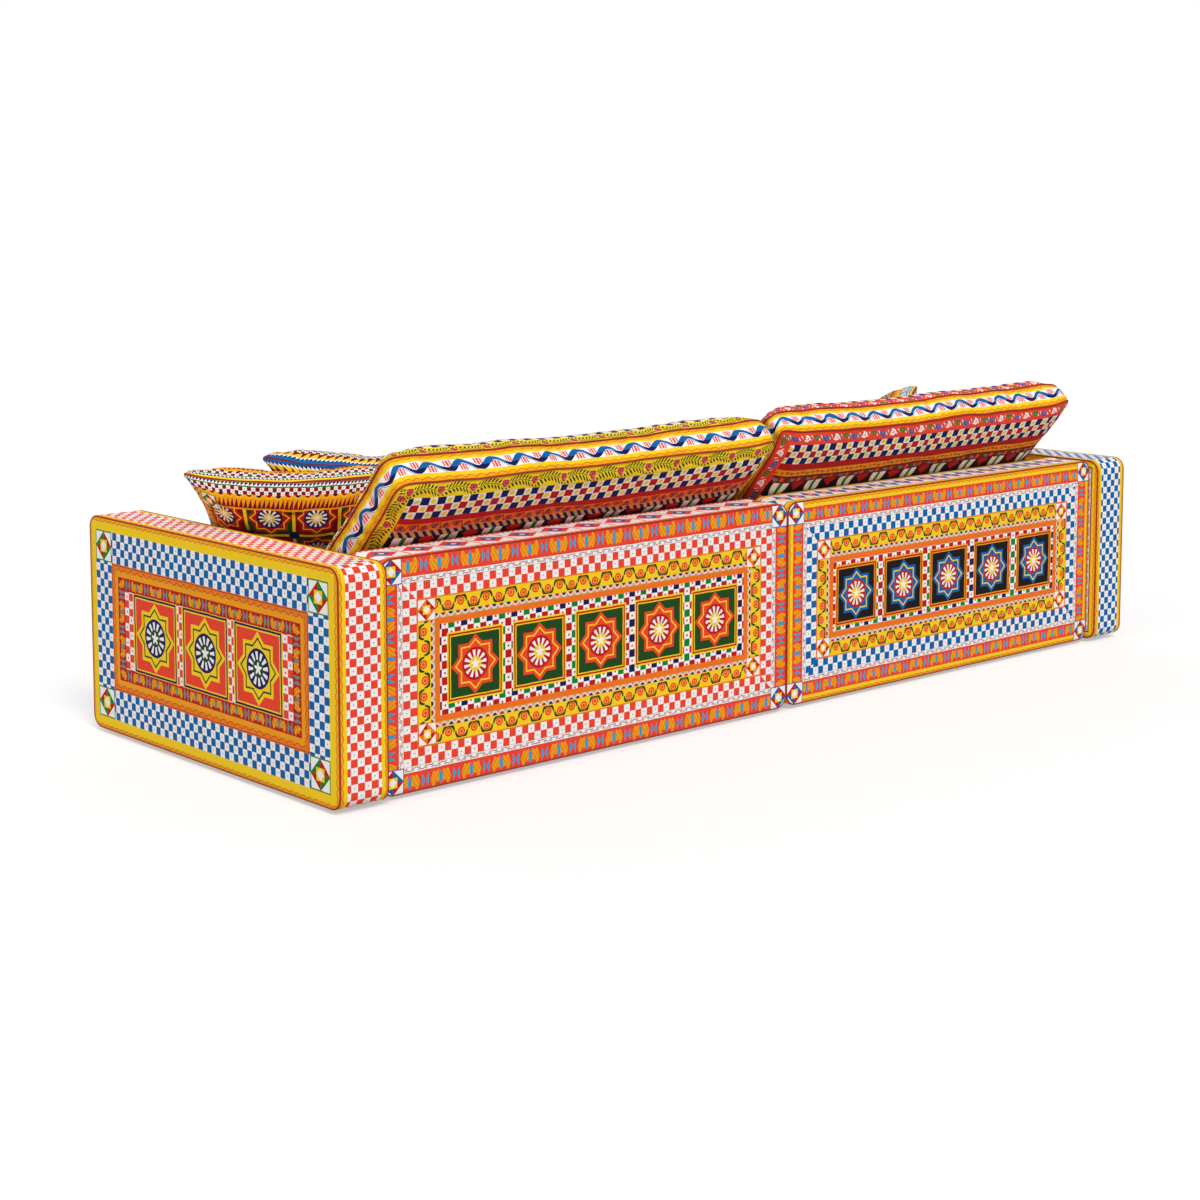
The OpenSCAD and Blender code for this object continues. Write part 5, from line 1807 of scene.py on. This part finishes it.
@dataclass
class SeatCushions:
    """The two seat cushions, flat below and crowned above, with a cord along each seam.

    The cord's pair is its diameter and how far outside the seam it lies.
    """

    edge: Finish
    half: tuple[float, float] = (0.72995, 0.5012)
    middle: tuple[float, float] = (0.73675, -0.09)
    seam_height: float = 0.2183
    platform: float = 0.2003
    spread: float = 0.004
    cord: tuple[float, float] = (0.005, 0.0022)

    def build(self) -> None:
        """Makes one cushion, lays it on each side and sews its cords."""
        cushion = Cushion(
            "seat_cushion_flat", self.half, 0.125, (0.018, 0.054), (0.095, 0.19), 0.010, 0.040, 0.0135, 9,
            Stuffing(2.6, 0.02, 0.010), waver=0.0022, seed=4.0, folds=((), SEAT_FOLDS),
            limit=(0.018, 0.0565), core=(0.035, 0.006, 0.0285),
        )
        cover = cushion.build()
        points = places_of(cover.data)
        points[:, 2] = np.maximum(points[:, 2], self.platform - self.seam_height)
        limit = np.array(self.half) + self.spread
        points[:, :2] = np.clip(points[:, :2], -limit, limit)
        set_places(cover.data, points)
        place = Place(Vector((*self.middle, self.seam_height)), Vector((1, 0, 0)), Vector((0, 1, 0)))
        cord = cushion.cords("seat_cord_flat", *self.cord)
        for side in Side:
            node = f"seat_cushion_{side.word}"
            piece, seam = copied(cover, f"{node}_shell"), copied(cord, f"{node}_cord")
            for part in (piece, seam):
                lay(part, place)
                if side is Side.LEFT:
                    mirror(part)
            finish_cushion(node, f"seat_{side.word}", piece, self.prints(side, cushion), seam, self.edge)
        for spare in (cover, cord):
            bpy.data.objects.remove(spare)

    def prints(self, side: Side, cushion: Cushion) -> list[PrintedCotton]:
        """The prints of the underside, the band and the top."""
        strips = (
            side.runner,
            border(ROWS, 0.075, [0.026], Dye.NAVY, Dye.DEEP_RED, Dye.WHITE, Dye.YELLOW),
            border(PLAIN, 0.014, [], Dye.DEEP_RED),
            border(SCROLL, 0.044, [0.044], Dye.GOLD, Dye.DEEP_RED, Dye.LEAF, Dye.BROWN),
            border(CHECKS, 0.043, [0.0215, 0.09], *side.other.checks),
            BRAID,
        )
        middle = border(STAR_FIELD, 1.0, [0.0725], *side.stars)
        top = PrintedCotton(f"Seat {side.word} top print", *cushion.cloth_half[1], strips, middle)
        under = PrintedCotton("Seat under print", *cushion.cloth_half[0], (YELLOW_EDGE,), check_field(BLUE_CHECKS))
        return [under, band_print("Seat band print", cushion, 0.1083), top]


def cord_path(seam: np.ndarray, out: float, level: int, apart: float = 0.0006) -> np.ndarray:
    """The path of a cord just outside a cushion's seam.

    Args:
        seam: rows of places round the cushion.
        out: how far outside the seam the cord's middle lies.
        level: -1 for the lower seam, 1 for the upper one.
        apart: how far below or above the seam it lies.

    Returns:
        Rows of places round the cushion.
    """
    way = np.roll(seam, -1, 0) - np.roll(seam, 1, 0)
    side = np.column_stack([way[:, 1], -way[:, 0]])
    side /= np.linalg.norm(side, axis=1)[:, None]
    path = seam.copy()
    path[:, :2] += side * out
    path[:, 2] += level * apart
    return path


@dataclass
class BackCushions:
    """The two big cushions that lean over the back panels, with a cord of a diameter and a place as on the seats."""

    edge: Finish
    half: tuple[float, float] = (0.6875, 0.275)
    band: float = 0.088
    middle_x: float = 0.7
    cord: tuple[float, float] = (0.0042, 0.0019)
    edge_at: tuple[float, float] = (0.4185, 0.6212)
    seat_top: float = 0.4004
    half_gap: float = 0.004
    leans: tuple[float, float] = (44.5, 41.0)
    feet: tuple[tuple[float, float], tuple[float, float]] = ((0.157093, 0.402990), (0.184386, 0.402984))

    def place(self, side: Side) -> Place:
        """Where a cushion lies before it is mirrored: the middle of its rear seam, and its lean."""
        which = 0 if side is Side.RIGHT else 1
        turn = math.radians(self.leans[which])
        up = Vector((0, math.sin(turn), math.cos(turn)))
        foot = Vector((self.middle_x, *self.feet[which]))
        return Place(foot + up * self.half[1], Vector((1, 0, 0)), up)

    def build(self) -> None:
        """Makes each cushion, lays it in its place and sews its cords."""
        for side in Side:
            node = f"back_cushion_{side.word}"
            right = side is Side.RIGHT
            cushion = Cushion(
                f"{node}_shell", self.half, self.band, (0.035, 0.110), (0.12, 0.20), 0.012, 0.034, 0.0125, 7,
                Stuffing(3.0, 0.045, 0.014), waver=0.0042, pucker=0.0024, seed=1.0 if right else 6.0,
                folds=(REAR_FOLDS[side], FRONT_FOLDS), limit=(0.0365, 0.112), core=(0.042, 0.018, 0.028),
                powers=(0.5, 0.42), end_low=0.54, pinch=(0.18, 0.0) if right else (0.3, 0.34),
                ear=0.0 if right else 0.02,
            )
            piece = cushion.build()
            lay(piece, self.place(side))
            self.rest(piece, side)
            cord = cushion.cords(f"{node}_cord", *self.cord)
            lay(cord, self.place(side))
            if not right:
                for part in (piece, cord):
                    mirror(part)
            finish_cushion(node, f"back_{side.word}_cushion", piece, self.prints(side, cushion), cord, self.edge)

    def rest(self, piece: bpy.types.Object, side: Side) -> None:
        """Lets the cushion yield where it rests on the back's edge and on the seat, and keeps it off its twin.

        Args:
            piece: the laid cushion, before it is mirrored.
            side: its side.
        """
        points = places_of(piece.data)
        out = np.array(self.place(side).out)
        over = np.minimum((points[:, 1] - self.edge_at[0]) / -out[1], (self.edge_at[1] - points[:, 2]) / out[2])
        points += np.maximum(over, 0)[:, None] * out
        points[:, 2] = np.maximum(points[:, 2], self.seat_top)
        points[:, 0] = np.maximum(points[:, 0], self.half_gap)
        set_places(piece.data, points)

    def prints(self, side: Side, cushion: Cushion) -> list[PrintedCotton]:
        """The prints of the rear panel, the band and the front panel."""
        right = side is Side.RIGHT
        if right:
            last = (
                border(SCROLL, 0.031, [0.036], Dye.ORANGE, Dye.DEEP_RED, Dye.NAVY, Dye.GOLD),
                border(ROPE, 0.024, [0.026], Dye.NAVY, Dye.TAN),
            )
        else:
            last = (
                border(SPRIGS, 0.024, [0.066], Dye.GOLD, Dye.DEEP_RED, Dye.RUST, Dye.DEEP_RED),
                border(SPRIGS, 0.030, [0.072], Dye.MAROON, Dye.TEAL, Dye.ORANGE, Dye.LEAF),
            )
        strips = (
            side.runner,
            border(ROWS, 0.074, [0.0265], Dye.NAVY, Dye.DEEP_RED, Dye.WHITE, Dye.YELLOW),
            border(PLAIN, 0.022 if right else 0.028, [], Dye.DEEP_RED),
            *last,
        )
        rear_field = border(PETALS, 1.0, [0.15], Dye.INK, Dye.WHITE, Dye.GREEN, Dye.DEEP_RED)
        front_field = border(STAR_FIELD, 1.0, [0.07], *side.stars)
        name = f"Back cushion {side.word}"
        rear = PrintedCotton(f"{name} rear print", *cushion.cloth_half[0], strips, rear_field, framed=1)
        front = PrintedCotton(f"{name} front print", *cushion.cloth_half[1], strips, front_field)
        return [rear, band_print("Back cushion band print", cushion, 0.1013), front]


@dataclass(frozen=True)
class PillowPose:
    """How one pillow lies: its middle, its turn about the upright and its lean."""

    name: str
    middle: tuple[float, float, float]
    turn: float
    lean: float
    quarter_turns: int
    fullness: float = 1.0

    def place(self) -> Place:
        """The pillow's place in the row frame."""
        lean, turn = math.radians(self.lean), Matrix.Rotation(math.radians(self.turn), 3, "Z")
        up = turn @ Vector((0, math.sin(lean), math.cos(lean)))
        return Place(Vector(self.middle), turn @ Vector((1, 0, 0)), up)


@dataclass
class Pillows:
    """The three throw pillows."""

    half: float = 0.285
    poses: tuple[PillowPose, ...] = (
        PillowPose("corner", (1.231, -0.1366, 0.5881), -39.5, 49.0, 0, 1.06),
        PillowPose("front", (0.902, -0.2226, 0.5881), -45.5, 49.0, 1, 1.24),
        PillowPose("left", (-1.095, -0.0956, 0.6105), 43.5, 42.5, 2),
    )

    def build(self) -> None:
        """Makes one pillow and lays it in its three places."""
        pillow = Cushion(
            "pillow_flat", (self.half, self.half), 0.004, (0.094, 0.094), (0.214, 0.214), 0.042, 0.014, 0.0105, 1,
            Stuffing(2.2, 0.05, 0.014, 0.3), powers=(0.64, 0.43), thin=0.45, band_bulge=0.0, waver=0.0055,
            pucker=0.003, ear=0.026, seed=8.0, folds=PILLOW_FOLDS, limit=(0.0975, 0.0975), core=(0.095, 0.058, 0.058),
        )
        cover = pillow.build()
        points = places_of(cover.data)
        points[:, 2] -= pillow.band / 2
        set_places(cover.data, points)
        for pose in self.poses:
            node = f"pillow_{pose.name}"
            piece = copied(cover, f"{node}_shell")
            turned = places_of(piece.data)
            for _ in range(pose.quarter_turns):
                turned = np.column_stack([-turned[:, 1], turned[:, 0], turned[:, 2]])
            turned[:, 2] *= np.where(turned[:, 2] > 0, pose.fullness, 1.0)
            set_places(piece.data, turned)
            lay(piece, pose.place())
            cotton = self.print(pose.name, pillow)
            dress(piece, cotton, SEAM_BLUE if pose.name == "front" else SEAM_RED, cotton)
            settle(piece, node, [f"{node}_cover"])
        bpy.data.objects.remove(cover)

    def print(self, name: str, pillow: Cushion) -> PrintedCotton:
        """The print of one pillow, the same on both its panels. The maroon teeth and the corner pillow's maroon and
        leaf grounds are partly its dark print and partly painted shade for the shadow on the corner pillow's face.
        """
        if name == "front":
            strips = (
                border(PLAIN, 0.006, [], Dye.MAROON),
                border(PLAIN, 0.011, [], Dye.BLUE),
                border(TEETH, 0.010, [0.012], Dye.WHITE, Dye.NAVY),
                border(TEETH, 0.024, [0.024], Dye.MAROON, Dye.YELLOW),
                border(MOTLEY, 0.044, [0.011], Dye.MAROON, Dye.NAVY, Dye.GREEN, Dye.WHITE),
                border(SHELLS, 0.014, [0.02], Dye.YELLOW, Dye.ORANGE, Dye.NAVY, Dye.DEEP_RED),
            )
            middle = border(STAR_FIELD, 1.0, [0.062], Dye.DEEP_RED, Dye.NAVY, *STAR_COOL)
        else:
            cool = name == "left"
            strips = (
                border(PLAIN, 0.009, [], Dye.YELLOW),
                border(TEETH, 0.010, [0.0105], Dye.WHITE, Dye.NAVY),
                border(PLAIN, 0.004, [], Dye.GREEN),
                border(CHECKS, 0.022, [0.011, 0.14], Dye.BLUE if cool else Dye.MAROON, Dye.WHITE, Dye.MAROON),
                border(SHELLS, 0.013, [0.026], Dye.GOLD, Dye.YELLOW, Dye.DEEP_RED, Dye.NAVY),
                # Maroon teeth with gold: partly the print's dark dyes, partly painted shade for the corner pillow's
                # shadowed face.
                border(TEETH, 0.030, [0.0125], Dye.MAROON, Dye.GOLD),
                border(PLAIN, 0.005, [], Dye.GOLD),
            )
            # Corner pillow: maroon and leaf grounds, partly its dark print and partly painted shade for the shadow on
            # its face.
            grounds_and_painted_shade = (Dye.NAVY, Dye.GREEN) if cool else (Dye.MAROON, Dye.LEAF)
            middle = border(STAR_FIELD, 1.0, [0.068], *grounds_and_painted_shade, *STAR_WARM)
        corner = border(NESTED, 0.05, [], Dye.GREEN, Dye.WHITE, Dye.DEEP_RED, Dye.YELLOW)
        return PrintedCotton(f"Pillow {name} print", *pillow.cloth_half[1], strips, middle, None, corner, 0.06)


CORD_RED = Finish("Cord cloth", (128, 26, 8), (176, 46, 14), even(260.0), 2.0, (0.7, 0.85), 0.0004, weave=0.0016)
SEAM_RED = Finish("Seam red", (120, 18, 12), (158, 30, 20), even(200.0), 2.0, (0.75, 0.85), 0.0003, weave=0.0016)
SEAM_BLUE = Finish("Seam blue", (70, 20, 40), (110, 26, 50), even(200.0), 2.0, (0.75, 0.85), 0.0003, weave=0.0016)
TIMBER = Finish("Spruce timber", (176, 132, 84), (214, 176, 124), (3.0, 60.0, 60.0), 6.0, (0.6, 0.75), 0.0005)
FOAM = Finish("Cut foam", (214, 204, 170), (236, 228, 200), even(300.0), 3.0, (0.85, 0.95), 0.0008)
FILL = Finish("Fibre fill", (222, 220, 214), (240, 238, 234), even(70.0), 5.0, (0.9, 0.98), 0.002)
JUTE = Finish("Jute webbing", (120, 92, 58), (160, 128, 84), even(60.0), 3.0, (0.8, 0.9), 0.0006, weave=0.004)
DUST_CLOTH = Finish("Dust cloth", (24, 24, 26), (46, 46, 48), even(220.0), 4.0, (0.85, 0.95), 0.0004)
DECK_CLOTH = Finish("Platform cloth", (60, 56, 54), (88, 84, 80), even(160.0), 3.0, (0.8, 0.9), 0.0004, weave=0.002)
ZIP_TAPE = Finish("Zip tape", (150, 30, 26), (196, 52, 40), (400.0, 60.0, 400.0), 2.0, (0.5, 0.7), 0.0006, weave=0.003)
PLASTIC = Finish("Glide plastic", (26, 26, 28), (40, 40, 42), even(90.0), 3.0, (0.4, 0.55), 0.0001)
ZINC = Finish("Zinc steel", (170, 172, 176), (206, 208, 212), (200.0, 200.0, 30.0), 3.0, (0.28, 0.42), 0.0001, 1.0)
NUT_STEEL = Finish("Nut steel", (150, 142, 120), (190, 180, 150), (200.0, 200.0, 30.0), 3.0, (0.32, 0.46), 0.0001, 1.0)


@dataclass
class InnerParts:
    """The finishes of the CAD nodes, by the ends of their names: the first end that fits counts."""

    finishes: tuple[tuple[tuple[str, ...], Finish], ...] = (
        (("_frame",), TIMBER),
        (("_fill",), FILL),
        (("_webbing",), JUTE),
        (("_dust_cover",), DUST_CLOTH),
        (("_platform",), DECK_CLOTH),
        (("_zip", "_piping"), ZIP_TAPE),
        (("glides",), PLASTIC),
        (("screws", "bolts"), ZINC),
        (("nuts",), NUT_STEEL),
        (("_padding", "_core", "_cover", "_front"), FOAM),
    )

    def build(self) -> None:
        """Gives every CAD node the finish that its name asks for."""
        for name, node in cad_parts.items():
            finish = next((fitting for ends, fitting in self.finishes if name.endswith(ends)), None)
            if finish is None:
                raise ValueError(f"no finish for {name}")
            node.data.materials.clear()
            node.data.materials.append(finish.material())
            log.info("dressed %s in %s", name, finish.name)


@dataclass
class Studio:
    """The camera, the floor, the lamps and the pale surround."""

    eye: tuple[float, float, float] = (4.722, 4.997, 1.560)
    heading: float = -131.978
    pitch: float = -6.166
    lens: float = 66.936
    shift: float = -0.15
    floor_radius: float = 14.0
    floor_grey: float = 0.62
    floor_glow: float = 0.42
    air_strength: float = 0.34
    suns: tuple[tuple[str, float, float, tuple[float, float, float]], ...] = (
        ("Key", 2.05, 26, (43.5, 0, 156)),
        ("Fill", 0.42, 60, (56, 0, 104)),
        ("Front", 0.4, 60, (52, 0, -20)),
    )

    def build(self) -> None:
        """Sets up the whole studio."""
        self.camera()
        self.floor()
        self.lamps()
        bpy.context.scene.view_settings.view_transform = "Standard"

    def camera(self) -> None:
        """Places the camera as in the photograph."""
        data = bpy.data.cameras.new("Camera")
        data.lens, data.sensor_width, data.sensor_fit = self.lens, 36.0, "AUTO"
        data.shift_y = self.shift
        data.clip_end = 60
        camera = bpy.data.objects.new("Camera", data)
        camera.location = self.eye
        camera.rotation_euler = (math.radians(90 + self.pitch), 0, math.radians(self.heading - 90))
        bpy.context.scene.collection.objects.link(camera)
        bpy.context.scene.camera = camera

    def floor(self) -> None:
        """Makes the pale floor, which keeps the sofa's shadow."""
        clear_selection()
        bpy.ops.mesh.primitive_circle_add(vertices=96, radius=self.floor_radius, fill_type="NGON", location=(0, 0, 0))
        floor = bpy.context.object
        floor.name = floor.data.name = "studio_floor"
        made, d = new_material("Studio floor")
        matt = d.node("BsdfDiffuse", {"Color": (*even(self.floor_grey), 1.0)})
        glow = d.node("Emission", {"Color": PURE_WHITE, "Strength": self.floor_glow})
        both = d.node("AddShader", {0: d.wire(matt), 1: d.wire(glow)})
        d.finish(d.node("MixShader", {0: d.seen(), 1: d.wire(matt), 2: d.wire(both)}))
        floor.data.materials.append(made)

    def lamps(self) -> None:
        """Lights the sofa softly from all round and a little more from above and behind the camera."""
        world = bpy.data.worlds.new("Studio air")
        bpy.context.scene.world = world
        world.use_nodes = True
        d = new_draft(world.node_tree)
        strength = d.seen() * (1 - self.air_strength) + self.air_strength
        air = d.node("Background", {"Color": PURE_WHITE, "Strength": strength})
        d.finish(air, "OutputWorld")
        for name, power, angle, turn in self.suns:
            data = bpy.data.lights.new(name, "SUN")
            data.energy, data.angle = power, math.radians(angle)
            lamp = bpy.data.objects.new(name, data)
            lamp.rotation_euler = tuple(math.radians(t) for t in turn)
            bpy.context.scene.collection.objects.link(lamp)


def main() -> None:
    """Builds the studio, the finishes and every dressed piece."""
    logging.basicConfig(level=logging.INFO, format="%(message)s")
    Studio().build()
    InnerParts().build()
    Arms(CORD_RED).build()
    Backs(CORD_RED).build()
    Fronts().build()
    SeatCushions(CORD_RED).build()
    BackCushions(CORD_RED).build()
    Pillows().build()


if __name__ == "__main__":
    main()
